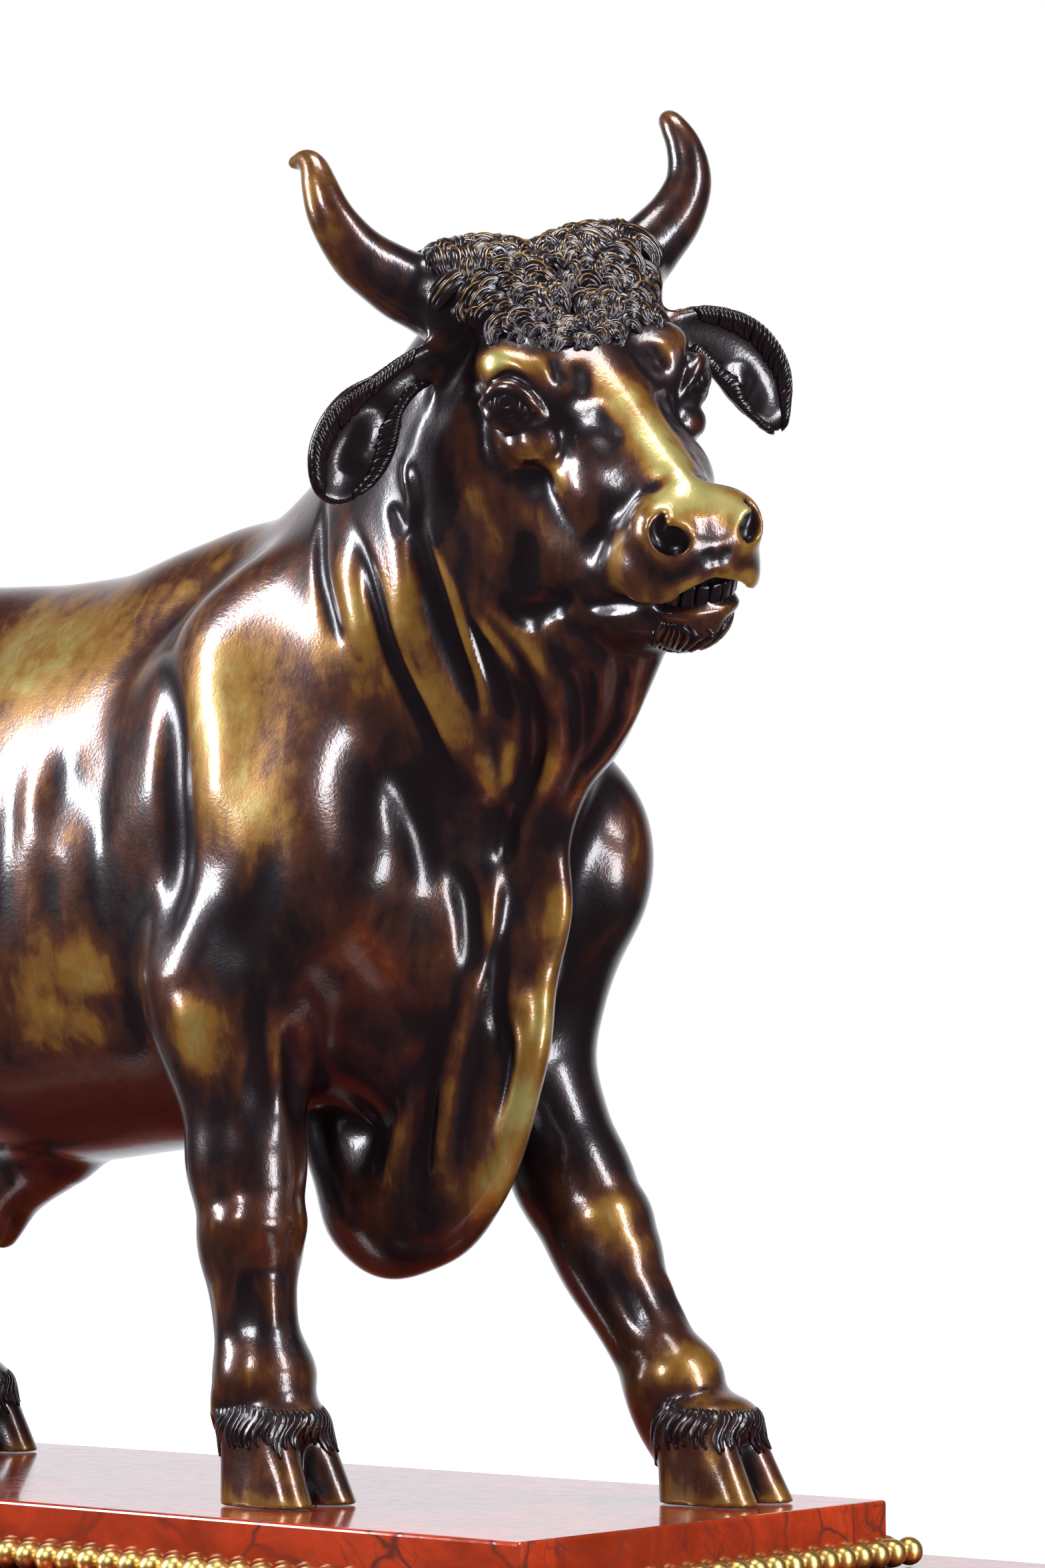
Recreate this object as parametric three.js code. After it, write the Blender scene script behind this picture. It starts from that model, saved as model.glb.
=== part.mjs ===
import * as THREE from 'three';

// A bull in patinated bronze, standing on a marble slab with a gilt bead moulding round its foot,
// on a larger marble slab. Millimetres. +X is the way the bull faces, +Y its left, +Z up.
// The origin is the middle of the lower slab's underside.

const LOWER_SLAB = { length: 590, width: 276, height: 25, chamfer: 1.5 };
const UPPER_SLAB = { length: 500, width: 190, height: 21.6, chamfer: 1.2 };
const BEAD = { radius: 4.8, neck: 2.7, alongLength: 53, alongWidth: 21, sides: 5, standOff: 5 };
const GAP = 0.3;
const GROUND = LOWER_SLAB.height + GAP + UPPER_SLAB.height;

const GRID = 3.2;
const BULL_TRIANGLES = 6950;
const HEAD_CARE = 5;

const RIGHT = -1;
const LEFT = 1;
const SIDES = [RIGHT, LEFT];

// Where the head sits on the neck: turned to the right, dipped and tilted.
const HEAD = { origin: [206.6, -31.8, 390.3], yaw: -15.3, pitch: 37.2, roll: 15.2 };

// Head sizes below are forward along the face, out to the side, and out of the forehead.
const HORN = [
  [-2, 18, 1, 15], [-8, 30, 1, 13.5], [-13.5, 41, 2.5, 12], [-17, 50, 7.5, 10.6], [-20, 58, 13.5, 9.4],
  [-24, 64, 21, 8], [-29, 66.5, 26.5, 7], [-35, 67, 32, 5.8], [-41, 66.5, 35.5, 4.6], [-46, 67, 36, 3.6],
  [-50, 69, 33.5, 2.4],
];
const EARS = {
  [RIGHT]: [
    [8, 34, -9, 7], [9, 44, -11.5, 7.2], [10, 54, -14.5, 8.2], [12, 63, -19.5, 11.4], [14, 69.6, -27, 14.6],
    [16, 74.5, -36.3, 13.2], [18, 78.2, -44.4, 8.9], [19, 79.8, -49.4, 2.6],
  ],
  [LEFT]: [
    [12, 34, -12, 6.5], [12, 46, -10, 6.5], [13, 57, -13, 9.5], [16, 68, -20, 12.5], [20, 76, -30, 11.5],
    [24, 80, -40, 6], [25, 82, -45, 2],
  ],
};

// Where the eyes sit, and runs round the right one.
const EYE = [42, 31.5, -10.5];
const UPPER_LID = [
  [37, 39, -12.3, 1], [40.6, 38.8, -6.6, 2.1], [43.3, 35.4, -4, 2.3], [47, 31.4, -4.6, 2.2],
  [49.6, 28, -7.6, 1.8], [50, 25.4, -11, 1],
];
const LOWER_LID = [
  [37, 39, -12.3, 1], [42.4, 38.8, -14.9, 1.9], [46.4, 35.4, -16.2, 2.1], [49.6, 31, -14.6, 1.8],
  [50, 25.4, -11, 1],
];
const BROW = [[22, 32, -9], [28, 34, -3], [33.5, 32, 0], [39, 29.4, 1], [45, 27.4, -0.6], [51, 25, -4.6]];
const NOSTRIL = [
  [111, 14.5, -12.5, 2.4], [113.5, 18, -17, 4], [116, 16, -22, 4.6], [118.5, 12, -22.6, 4.2],
  [120.5, 9.6, -19, 2.6],
];
const MOUTH = [
  [126, 0, -37.4, 4.7], [122.5, 8.5, -39.8, 4.4], [116, 16.5, -43.2, 3.2], [104, 19.5, -50.5, 2.2],
  [92, 19, -59, 1.8], [80, 17.5, -67, 1.5],
];

// Strokes on both sides of the head: a run of points on the skin, its width, and its height
// (a furrow where that is negative).
const HEAD_STROKES = [
  [BROW, 5, 1.3],
  [[[54, 11.5, -4], [62, 12.6, -6.5], [70, 11.6, -9], [80, 10.6, -11]], 4.2, -1.6],
  [[[52, 22, -9], [56, 25.5, -15], [61, 26.8, -19], [66.5, 29, -25], [69, 30, -32]], 3.4, 2],
  [[[51, 29, -20.5], [56.5, 32.6, -25.5], [62, 34, -32], [64, 34, -40]], 4, -2.2],
  [[[84, 18.6, -20], [88, 20.6, -27], [88, 21, -36], [84, 20.5, -46]], 4.6, -2.4],
  [[[90, 22.5, -53], [84, 22, -61], [77, 21, -69], [72, 19.5, -79], [70, 15, -92]], 3, 1.6],
  [[[84, 24, -54], [77, 25, -63], [70, 24, -72]], 3.6, -1.6],
  [[[30, 37.5, -36], [44, 37.5, -44], [54, 35, -56], [52, 33, -70]], 6, 1.4],
  [[[60, 33, -42], [64, 31, -54], [60, 30, -68]], 5, -1.8],
];

// Skin folds of the neck, chest and flank, in the same way.
const FOLDS = [
  // behind the right ear and down the neck
  [[[122, -47, 338], [130, -55, 316], [140, -61, 293], [147, -62, 278]], 3, -2.5],
  [[[136, -55, 323], [148, -61, 303], [155, -61, 283], [156, -58, 270]], 6, 2.2],
  [[[144, -57, 327], [156, -62, 309], [162, -62, 291], [165, -57, 274], [169, -50, 259],
    [172, -43, 246], [173, -34, 229]], 2.8, -3.2],
  [[[162, -61, 334], [170, -63, 316], [174, -61, 301], [173, -59, 286], [175, -53, 273],
    [178, -44, 254], [180, -35, 241], [179, -24, 228], [176, -18, 214]], 7, 3.2],
  [[[180, -64, 332], [180, -62, 313], [182, -59, 299], [183, -55, 285], [186, -45, 265],
    [187, -38, 252]], 4, -3.6],
  [[[190, -54, 291], [193, -47, 277], [195, -39, 262], [194, -33, 252]], 2.8, -2.2],
  // edge of the jaw, running into the dewlap
  [[[189, -57, 302], [197, -52, 291], [205, -44, 281], [211, -38, 272], [212, -31, 260],
    [209, -25, 249], [200, -18, 241], [189, -15, 228], [182, -13, 214], [178, -11, 203],
    [179, -10, 191]], 4.2, 3.2],
  [[[199, -43, 274], [203, -35, 261], [200, -28, 250], [190, -18, 235], [183, -15, 221]], 3.2, -3],
  [[[183, -38, 248], [181, -29, 236], [180, -23, 228]], 3.4, 2],
  [[[183, -21, 231], [180, -18, 219], [175, -15, 208]], 2.8, -2.6],
  [[[177, -17, 215], [172, -17, 201], [172, -17, 189], [173, -15, 176]], 4.5, 2.4],
  [[[160, -52, 244], [162, -48, 229], [162, -41, 213], [161, -36, 197]], 7, -2.6],
  [[[168, -33, 213], [168, -24, 197], [168, -22, 182], [165, -21, 167]], 4, -3],
  // throat
  [[[241, -38, 278], [235, -30, 263], [223, -21, 249], [206, -10, 234]], 3.4, -2.4],
  [[[203, -51, 294], [208, -45, 287], [220, -43, 287], [234, -46, 288]], 4, -2.2],
  [[[225, -39, 277], [222, -31, 263], [215, -23, 249], [204, -15, 237]], 5, -2.6],
  // dewlap and chest
  [[[183, -6, 178], [183, -6, 162], [180, -8, 142], [173, -7, 124], [164, -7, 106],
    [153, -8, 90]], 5, 2.4],
  [[[175, -14, 205], [174, -15, 182], [171, -13, 162], [172, -12, 144], [166, -10, 117]], 3, -2.8],
  [[[170, -21, 186], [166, -20, 166], [157, -18, 144], [149, -15, 117], [148, -12, 92]], 3.4, 2.8],
  [[[153, -23, 149], [142, -18, 119], [137, -16, 97]], 3.6, -2.8],
  [[[145, -23, 137], [131, -19, 117], [125, -19, 97]], 4, 2.2],
  [[[144, -40, 173], [152, -26, 153], [141, -23, 133]], 5, -2],
  [[[118, -59, 162], [112, -47, 140], [109, -40, 119]], 4, -3],
  // right upper arm, elbow and flank
  [[[94, -76, 171], [93, -75, 155], [92, -69, 135]], 8, 2.6],
  [[[113, -69, 177], [111, -64, 155], [107, -59, 133], [106, -61, 115]], 6, -2.4],
  [[[46, -37, 306], [74, -69, 266], [79, -71, 232], [79, -72, 199], [83, -78, 170]], 7, -3.6],
  [[[62, -37, 310], [95, -68, 272], [101, -71, 240], [95, -71, 209]], 11, 2.2],
  [[[122, -72, 234], [123, -73, 208], [110, -71, 182], [103, -73, 165]], 9, -2.2],
  [[[-11, -64, 173], [22, -59, 167], [69, -70, 153]], 6, -2],
  [[[134, -72, 216], [149, -62, 201], [144, -43, 176], [135, -34, 152]], 12, 2],
  [[[3, -61, 263], [25, -66, 240], [40, -67, 214]], 9, -1.4],
  // behind the left shoulder
  [[[57, 58, 292], [66, 66, 268], [70, 70, 244], [72, 72, 220], [72, 74, 196],
    [74, 74, 176]], 7, -4],
];

const BRONZE = new THREE.MeshStandardMaterial({ color: 0x3a1d12, roughness: 0.25, metalness: 0.8 });
const GILT = new THREE.MeshStandardMaterial({ color: 0xc39a3c, roughness: 0.3, metalness: 1 });
const RED_MARBLE = new THREE.MeshStandardMaterial({ color: 0x8a2c17, roughness: 0.15, metalness: 0 });

const WORLD = { turn: new THREE.Matrix3(), origin: new THREE.Vector3() };

function turning(yaw, pitch, roll) {
  const euler = new THREE.Euler(
    THREE.MathUtils.degToRad(roll), THREE.MathUtils.degToRad(pitch), THREE.MathUtils.degToRad(yaw), 'ZYX');
  return new THREE.Matrix3().setFromMatrix4(new THREE.Matrix4().makeRotationFromEuler(euler));
}

// A smooth run through rows of any width.
function smoothRun(rows, steps) {
  if (rows.length === 2) return rows;
  const last = rows.length - 1;
  const ends = [
    rows[0].map((v, k) => 2 * v - rows[1][k]),
    ...rows,
    rows[last].map((v, k) => 2 * v - rows[last - 1][k]),
  ];
  const out = [];
  for (let i = 0; i < last; i++) {
    for (let j = 0; j < steps; j++) {
      const t = j / steps;
      out.push(rows[0].map((_, k) => {
        const [a, b, c, d] = [ends[i][k], ends[i + 1][k], ends[i + 2][k], ends[i + 3][k]];
        const curve = (2 * a - 5 * b + 4 * c - d) * t * t + (3 * b - a - 3 * c + d) * t * t * t;
        return 0.5 * (2 * b + (c - a) * t + curve);
      }));
    }
  }
  out.push(rows[last]);
  return out;
}

// Clay: distances to a surface on a grid, negative inside. Shapes are added or cut with soft joins.
class Clay {
  constructor(low, high, step) {
    this.step = step;
    this.low = low;
    this.count = low.map((v, k) => Math.ceil((high[k] - v) / step) + 1);
    this.values = new Float32Array(this.count[0] * this.count[1] * this.count[2]).fill(60);
    this.place = WORLD;
  }

  index(i, j, k) {
    return (i * this.count[1] + j) * this.count[2] + k;
  }

  point(p) {
    return new THREE.Vector3(p[0], p[1], p[2]).applyMatrix3(this.place.turn).add(this.place.origin);
  }

  // Calls visit(index, x, y, z) at every grid point between two corners.
  each(low, high, visit) {
    const from = low.map((v, k) => Math.max(0, Math.floor((v - this.low[k]) / this.step)));
    const to = high.map((v, k) => Math.min(this.count[k] - 1, Math.ceil((v - this.low[k]) / this.step)));
    for (let i = from[0]; i <= to[0]; i++) {
      const x = this.low[0] + i * this.step;
      for (let j = from[1]; j <= to[1]; j++) {
        const y = this.low[1] + j * this.step;
        for (let k = from[2]; k <= to[2]; k++) {
          visit(this.index(i, j, k), x, y, this.low[2] + k * this.step);
        }
      }
    }
  }

  join(at, distance, blend, carve) {
    const old = this.values[at];
    const other = carve ? -distance : distance;
    const sign = carve ? -1 : 1;
    const share = Math.min(1, Math.max(0, 0.5 + (sign * 0.5 * (other - old)) / blend));
    this.values[at] = other + (old - other) * share - sign * blend * share * (1 - share);
  }

  // An ellipsoid. turn is yaw, pitch and roll in degrees.
  ball(centre, radii, { turn = [0, 0, 0], blend = 8, carve = false } = {}) {
    const middle = this.point(centre);
    const r = Array.isArray(radii) ? radii : [radii, radii, radii];
    const axes = this.place.turn.clone().multiply(turning(...turn)).elements;
    const reach = [0, 1, 2].map((k) => blend + 2 * this.step
      + Math.hypot(axes[k] * r[0], axes[k + 3] * r[1], axes[k + 6] * r[2]));
    const least = -Math.min(...r);
    const low = [middle.x - reach[0], middle.y - reach[1], middle.z - reach[2]];
    const high = [middle.x + reach[0], middle.y + reach[1], middle.z + reach[2]];
    this.each(low, high, (at, x, y, z) => {
      const dx = x - middle.x;
      const dy = y - middle.y;
      const dz = z - middle.z;
      let near = 0;
      let slope = 0;
      for (let k = 0; k < 3; k++) {
        const u = (dx * axes[3 * k] + dy * axes[3 * k + 1] + dz * axes[3 * k + 2]) / r[k];
        near += u * u;
        slope += (u / r[k]) * (u / r[k]);
      }
      near = Math.sqrt(near);
      slope = Math.max(Math.sqrt(slope), 1e-6);
      this.join(at, Math.max(least, (near * (near - 1)) / slope), blend, carve);
    });
  }

  // A run of round cones through rows of x, y, z, radius. flat under 1 squeezes it along face.
  limb(rows, { blend = 6, carve = false, steps = 4, flat = 1, face = [0, 1, 0] } = {}) {
    const run = smoothRun(rows, steps);
    const ends = run.map((row) => this.point(row));
    const n = new THREE.Vector3(...face).applyMatrix3(this.place.turn).normalize();
    const found = new Map();
    for (let s = 0; s < run.length - 1; s++) {
      const a = ends[s];
      const b = ends[s + 1];
      const ra = run[s][3];
      const rb = run[s + 1][3];
      const room = Math.max(ra, rb) * Math.max(1, flat) + blend + 2 * this.step;
      const ab = [b.x - a.x, b.y - a.y, b.z - a.z];
      const length2 = Math.max(ab[0] ** 2 + ab[1] ** 2 + ab[2] ** 2, 1e-9);
      const low = [Math.min(a.x, b.x) - room, Math.min(a.y, b.y) - room, Math.min(a.z, b.z) - room];
      const high = [Math.max(a.x, b.x) + room, Math.max(a.y, b.y) + room, Math.max(a.z, b.z) + room];
      this.each(low, high, (at, x, y, z) => {
        let dx = x - a.x;
        let dy = y - a.y;
        let dz = z - a.z;
        const t = Math.min(1, Math.max(0, (dx * ab[0] + dy * ab[1] + dz * ab[2]) / length2));
        dx -= t * ab[0];
        dy -= t * ab[1];
        dz -= t * ab[2];
        const w = dx * n.x + dy * n.y + dz * n.z;
        const squared = dx * dx + dy * dy + dz * dz + w * w * (1 / (flat * flat) - 1);
        const distance = (Math.sqrt(squared) - ra - t * (rb - ra)) * Math.min(1, flat);
        const before = found.get(at);
        if (before === undefined || distance < before) found.set(at, distance);
      });
    }
    for (const [at, distance] of found) this.join(at, distance, blend, carve);
  }

  // Raises or sinks the skin softly along a run of points on it, fading at both ends.
  fold(points, width, height, { steps = 5, fade = 0.25, snap = true } = {}) {
    let run = smoothRun(points, steps).map((row) => this.point(row));
    if (snap) run = run.map((p) => this.snap(p));
    const reach = 2.6 * width + this.step;
    const found = new Map();
    const count = run.length - 1;
    for (let s = 0; s < count; s++) {
      const a = run[s];
      const b = run[s + 1];
      const ab = [b.x - a.x, b.y - a.y, b.z - a.z];
      const length2 = Math.max(ab[0] ** 2 + ab[1] ** 2 + ab[2] ** 2, 1e-9);
      const low = [Math.min(a.x, b.x) - reach, Math.min(a.y, b.y) - reach, Math.min(a.z, b.z) - reach];
      const high = [Math.max(a.x, b.x) + reach, Math.max(a.y, b.y) + reach, Math.max(a.z, b.z) + reach];
      this.each(low, high, (at, x, y, z) => {
        let dx = x - a.x;
        let dy = y - a.y;
        let dz = z - a.z;
        const t = Math.min(1, Math.max(0, (dx * ab[0] + dy * ab[1] + dz * ab[2]) / length2));
        dx -= t * ab[0];
        dy -= t * ab[1];
        dz -= t * ab[2];
        const squared = dx * dx + dy * dy + dz * dz;
        const before = found.get(at);
        if (before === undefined || squared < before[0]) found.set(at, [squared, (s + t) / count]);
      });
    }
    for (const [at, [squared, along]] of found) {
      let end = 1;
      if (fade > 0) {
        end = Math.min(1, Math.min(along, 1 - along) / fade);
        end = end * end * (3 - 2 * end);
      }
      this.values[at] -= height * end * Math.exp(-squared / (width * width));
    }
  }

  sample(p) {
    const f = [p.x, p.y, p.z].map((v, k) => {
      return Math.min(this.count[k] - 1.001, Math.max(0, (v - this.low[k]) / this.step));
    });
    const c = f.map(Math.floor);
    const t = f.map((v, k) => v - c[k]);
    let sum = 0;
    for (let corner = 0; corner < 8; corner++) {
      const o = [corner & 1, (corner >> 1) & 1, corner >> 2];
      const share = o.reduce((part, on, k) => part * (on ? t[k] : 1 - t[k]), 1);
      sum += share * this.values[this.index(c[0] + o[0], c[1] + o[1], c[2] + o[2])];
    }
    return sum;
  }

  slope(p) {
    const h = this.step;
    const ask = (x, y, z) => this.sample(new THREE.Vector3(p.x + x, p.y + y, p.z + z));
    return new THREE.Vector3(
      ask(h, 0, 0) - ask(-h, 0, 0), ask(0, h, 0) - ask(0, -h, 0), ask(0, 0, h) - ask(0, 0, -h)).normalize();
  }

  snap(p, rounds = 6) {
    const q = p.clone();
    for (let i = 0; i < rounds; i++) q.addScaledVector(this.slope(q), -this.sample(q));
    return q;
  }
}

// The skin of the clay as triangles: each grid cell is six tetrahedra, so the skin is always closed.
function skin(clay) {
  const [nx, ny, nz] = clay.count;
  const orders = [[0, 1, 2], [1, 2, 0], [2, 0, 1], [0, 2, 1], [2, 1, 0], [1, 0, 2]];
  const shift = [ny * nz, nz, 1];
  const positions = [];
  const triangles = [];
  const known = new Map();
  const total = nx * ny * nz;
  const where = (g) => {
    const i = Math.floor(g / shift[0]);
    const j = Math.floor((g - i * shift[0]) / shift[1]);
    return [
      clay.low[0] + i * clay.step, clay.low[1] + j * clay.step,
      clay.low[2] + (g - i * shift[0] - j * shift[1]) * clay.step,
    ];
  };
  const crossing = (a, b) => {
    const key = Math.min(a, b) * total + Math.max(a, b);
    const old = known.get(key);
    if (old !== undefined) return old;
    const va = clay.values[a];
    const vb = clay.values[b];
    const t = Math.min(0.93, Math.max(0.07, va / (va - vb)));
    const pa = where(a);
    const pb = where(b);
    positions.push(pa.map((v, k) => v + (pb[k] - v) * t));
    known.set(key, positions.length - 1);
    return positions.length - 1;
  };
  const face = (a, b, c, inside, outside) => {
    const [pa, pb, pc] = [positions[a], positions[b], positions[c]];
    const u = pb.map((v, k) => v - pa[k]);
    const w = pc.map((v, k) => v - pa[k]);
    const n = [u[1] * w[2] - u[2] * w[1], u[2] * w[0] - u[0] * w[2], u[0] * w[1] - u[1] * w[0]];
    const from = where(inside);
    const to = where(outside);
    const way = n[0] * (to[0] - from[0]) + n[1] * (to[1] - from[1]) + n[2] * (to[2] - from[2]);
    triangles.push(way > 0 ? [a, b, c] : [a, c, b]);
  };
  for (let i = 0; i < nx - 1; i++) {
    for (let j = 0; j < ny - 1; j++) {
      for (let k = 0; k < nz - 1; k++) {
        const g = clay.index(i, j, k);
        if (Math.abs(clay.values[g]) > 2 * clay.step * Math.sqrt(3)) continue;
        for (const order of orders) {
          const corner = [g];
          for (const axis of order) corner.push(corner[corner.length - 1] + shift[axis]);
          const inner = corner.filter((c) => clay.values[c] < 0);
          const outer = corner.filter((c) => clay.values[c] >= 0);
          if (inner.length === 0 || outer.length === 0) continue;
          if (inner.length === 1 || outer.length === 1) {
            const [lone, others] = inner.length === 1 ? [inner[0], outer] : [outer[0], inner];
            const cuts = others.map((o) => crossing(lone, o));
            face(cuts[0], cuts[1], cuts[2], inner[0], outer[0]);
          } else {
            const p = crossing(inner[0], outer[0]);
            const q = crossing(inner[0], outer[1]);
            const r = crossing(inner[1], outer[1]);
            const s = crossing(inner[1], outer[0]);
            face(p, q, r, inner[0], outer[0]);
            face(p, r, s, inner[0], outer[0]);
          }
        }
      }
    }
  }
  return { positions, triangles };
}

// The outer skin alone: a pocket closed in between two locks of hair stays solid.
function outer({ positions, triangles }) {
  const home = positions.map((_, i) => i);
  const root = (v) => {
    let at = v;
    while (home[at] !== at) {
      home[at] = home[home[at]];
      at = home[at];
    }
    return at;
  };
  for (const [a, b, c] of triangles) {
    home[root(a)] = root(b);
    home[root(b)] = root(c);
  }
  const sizes = new Map();
  for (const [a] of triangles) sizes.set(root(a), (sizes.get(root(a)) ?? 0) + 1);
  const biggest = [...sizes].sort((p, q) => q[1] - p[1])[0][0];
  return { positions, triangles: triangles.filter(([a]) => root(a) === biggest) };
}

// Thins a closed skin by folding its flattest edges away. care(point) is how much a spot matters.
function thin({ positions, triangles }, target, care) {
  const around = positions.map(() => new Set());
  const quadrics = positions.map(() => new Float64Array(10));
  const stamp = new Uint32Array(positions.length);
  const alive = new Uint8Array(triangles.length).fill(1);
  const normal = (a, b, c) => {
    const ux = b[0] - a[0];
    const uy = b[1] - a[1];
    const uz = b[2] - a[2];
    const wx = c[0] - a[0];
    const wy = c[1] - a[1];
    const wz = c[2] - a[2];
    return [uy * wz - uz * wy, uz * wx - ux * wz, ux * wy - uy * wx];
  };
  triangles.forEach((tri, t) => {
    const [a, b, c] = tri.map((v) => positions[v]);
    const n = normal(a, b, c);
    const size = Math.hypot(...n);
    const scale = (size * care(a)) / 2;
    const [x, y, z] = n.map((v) => v / Math.max(size, 1e-12));
    const d = -(x * a[0] + y * a[1] + z * a[2]);
    const plane = [x * x, x * y, x * z, x * d, y * y, y * z, y * d, z * z, z * d, d * d];
    for (const v of tri) {
      around[v].add(t);
      for (let k = 0; k < 10; k++) quadrics[v][k] += plane[k] * scale;
    }
  });
  const cost = (q, [x, y, z]) => q[0] * x * x + 2 * q[1] * x * y + 2 * q[2] * x * z + 2 * q[3] * x
    + q[4] * y * y + 2 * q[5] * y * z + 2 * q[6] * y + q[7] * z * z + 2 * q[8] * z + q[9];
  const best = (a, b) => {
    const q = quadrics[a].map((v, k) => v + quadrics[b][k]);
    const middle = positions[a].map((v, k) => (v + positions[b][k]) / 2);
    const m = new THREE.Matrix3().set(q[0], q[1], q[2], q[1], q[4], q[5], q[2], q[5], q[7]);
    const span = Math.hypot(...positions[a].map((v, k) => v - positions[b][k]));
    const size = q[0] + q[4] + q[7];
    const options = [middle, positions[a], positions[b]];
    if (Math.abs(m.determinant()) > 1e-4 * size ** 3) {
      const p = new THREE.Vector3(-q[3], -q[6], -q[8]).applyMatrix3(m.invert()).toArray();
      if (Math.hypot(...p.map((v, k) => v - middle[k])) < span) options.unshift(p);
    }
    let choice = null;
    for (const p of options) {
      const value = cost(q, p) + 1e-4 * span * span;
      if (choice === null || value < choice.value) choice = { value, p };
    }
    return choice;
  };
  const heap = [];
  const swap = (i, j) => {
    const kept = heap[i];
    heap[i] = heap[j];
    heap[j] = kept;
  };
  const push = (item) => {
    heap.push(item);
    let i = heap.length - 1;
    while (i > 0 && heap[(i - 1) >> 1].value > heap[i].value) {
      swap(i, (i - 1) >> 1);
      i = (i - 1) >> 1;
    }
  };
  const pop = () => {
    const top = heap[0];
    const last = heap.pop();
    if (heap.length > 0) {
      heap[0] = last;
      let i = 0;
      for (;;) {
        const l = 2 * i + 1;
        let m = i;
        if (l < heap.length && heap[l].value < heap[m].value) m = l;
        if (l + 1 < heap.length && heap[l + 1].value < heap[m].value) m = l + 1;
        if (m === i) break;
        swap(i, m);
        i = m;
      }
    }
    return top;
  };
  const offer = (a, b) => {
    const { value, p } = best(a, b);
    push({ value, a, b, p, sa: stamp[a], sb: stamp[b] });
  };
  const neighbours = (v) => {
    const out = new Set();
    for (const t of around[v]) for (const w of triangles[t]) if (w !== v) out.add(w);
    return out;
  };
  const turns = (v, other, p) => {
    for (const t of around[v]) {
      const tri = triangles[t];
      if (tri.includes(other)) continue;
      const before = normal(...tri.map((w) => positions[w]));
      const after = normal(...tri.map((w) => (w === v ? p : positions[w])));
      const dot = before[0] * after[0] + before[1] * after[1] + before[2] * after[2];
      const size = Math.hypot(...after);
      if (size < 0.05 || dot < 0.35 * size * Math.hypot(...before)) return true;
    }
    return false;
  };
  let left = triangles.length;
  for (const tri of triangles) {
    tri.forEach((v, k) => {
      if (v < tri[(k + 1) % 3]) offer(v, tri[(k + 1) % 3]);
    });
  }
  while (left > target && heap.length > 0) {
    const { a, b, p, sa, sb } = pop();
    if (stamp[a] !== sa || stamp[b] !== sb) continue;
    if (around[a].size === 0 || around[b].size === 0) continue;
    const na = neighbours(a);
    if (!na.has(b)) continue;
    let shared = 0;
    for (const w of neighbours(b)) if (na.has(w)) shared++;
    if (shared !== 2 || turns(a, b, p) || turns(b, a, p)) continue;
    for (const t of [...around[b]]) {
      if (triangles[t].includes(a)) {
        for (const w of triangles[t]) around[w].delete(t);
        alive[t] = 0;
        left--;
      } else {
        triangles[t] = triangles[t].map((w) => (w === b ? a : w));
        around[a].add(t);
      }
    }
    around[b].clear();
    positions[a] = p;
    for (let k = 0; k < 10; k++) quadrics[a][k] += quadrics[b][k];
    stamp[a]++;
    stamp[b]++;
    for (const w of neighbours(a)) offer(a, w);
  }
  return { positions, triangles: triangles.filter((_, t) => alive[t]) };
}

function torso(c) {
  c.ball([18, 0, 218], [108, 68, 101], { blend: 10 });                       // ribs
  c.ball([-45, 0, 210], [95, 70, 99], { blend: 20 });                        // belly
  c.ball([-100, 0, 236], [72, 60, 84], { blend: 20 });                       // loin
  c.ball([-150, 0, 250], [54, 56, 70], { blend: 20 });                       // croup
  c.limb([[-196, 0, 292, 24], [-120, 0, 300, 25], [-40, 0, 298, 24], [10, 0, 296, 24], [50, 0, 306, 24]],
    { blend: 22 });                                                          // back
  c.ball([108, 0, 210], [58, 54, 82], { turn: [0, -12, 0], blend: 22 });     // chest
  for (const s of SIDES) {
    c.ball([-178, 33 * s, 258], [38, 24, 46], { turn: [0, 20, 0], blend: 18 });   // buttock
    c.ball([-118, 42 * s, 282], [28, 14, 24], { blend: 30 });                // hip point
  }
}

function shoulders(c) {
  c.ball([142, 50, 180], [22, 20, 30], { blend: 16 });
  for (const [s, ahead] of [[RIGHT, 0], [LEFT, 20]]) {
    c.ball([78 + ahead, 44 * s, 248], [40, 25, 70], { turn: [0, 24, 0], blend: 14 });         // blade
    c.ball([118 + ahead * 1.3, 46 * s, 216], [42, 28, 44], { turn: [0, -20, 0], blend: 14 }); // point
    c.ball([88 + ahead, 50 * s, 176], [34, 24, 42], { turn: [0, 10, 0], blend: 14 });         // upper arm
  }
}

function neck(c) {
  c.limb([[40, 0, 290, 36], [90, -4, 303, 38], [140, -15, 329, 38], [184, -27, 362, 36]],
    { blend: 22, flat: 0.85 });                                              // crest
  c.limb([[80, 0, 240, 60], [126, -6, 262, 54], [160, -16, 300, 47], [186, -23, 334, 39]], { blend: 24 });
  c.limb([[126, 0, 205, 42], [156, -4, 244, 33], [184, -12, 274, 29], [204, -20, 304, 28]], { blend: 20 });
}

function dewlap(c) {
  c.limb([
    [250, -29, 283, 9], [232, -20, 265, 9], [211, -10, 247, 9], [194, -5, 233, 8.5], [184, -2, 216, 9],
    [183, 1, 196, 9.5], [176, 1, 174, 9], [176, -2, 152, 9], [169, -1, 130, 9], [160, 0, 110, 9.5],
    [143, 0, 92, 11], [128, 0, 86, 11], [112, 0, 85, 12], [98, 0, 93, 12],
  ], { blend: 13, flat: 0.7 });
  c.limb([[204, -12, 268, 20], [226, -24, 284, 16], [244, -30, 294, 9]], { blend: 14 });   // throat
  c.limb([[94, 0, 118, 16], [112, 0, 99, 16], [130, 0, 110, 17], [141, 0, 146, 20], [146, 0, 180, 25]],
    { blend: 18 });
}

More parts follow.
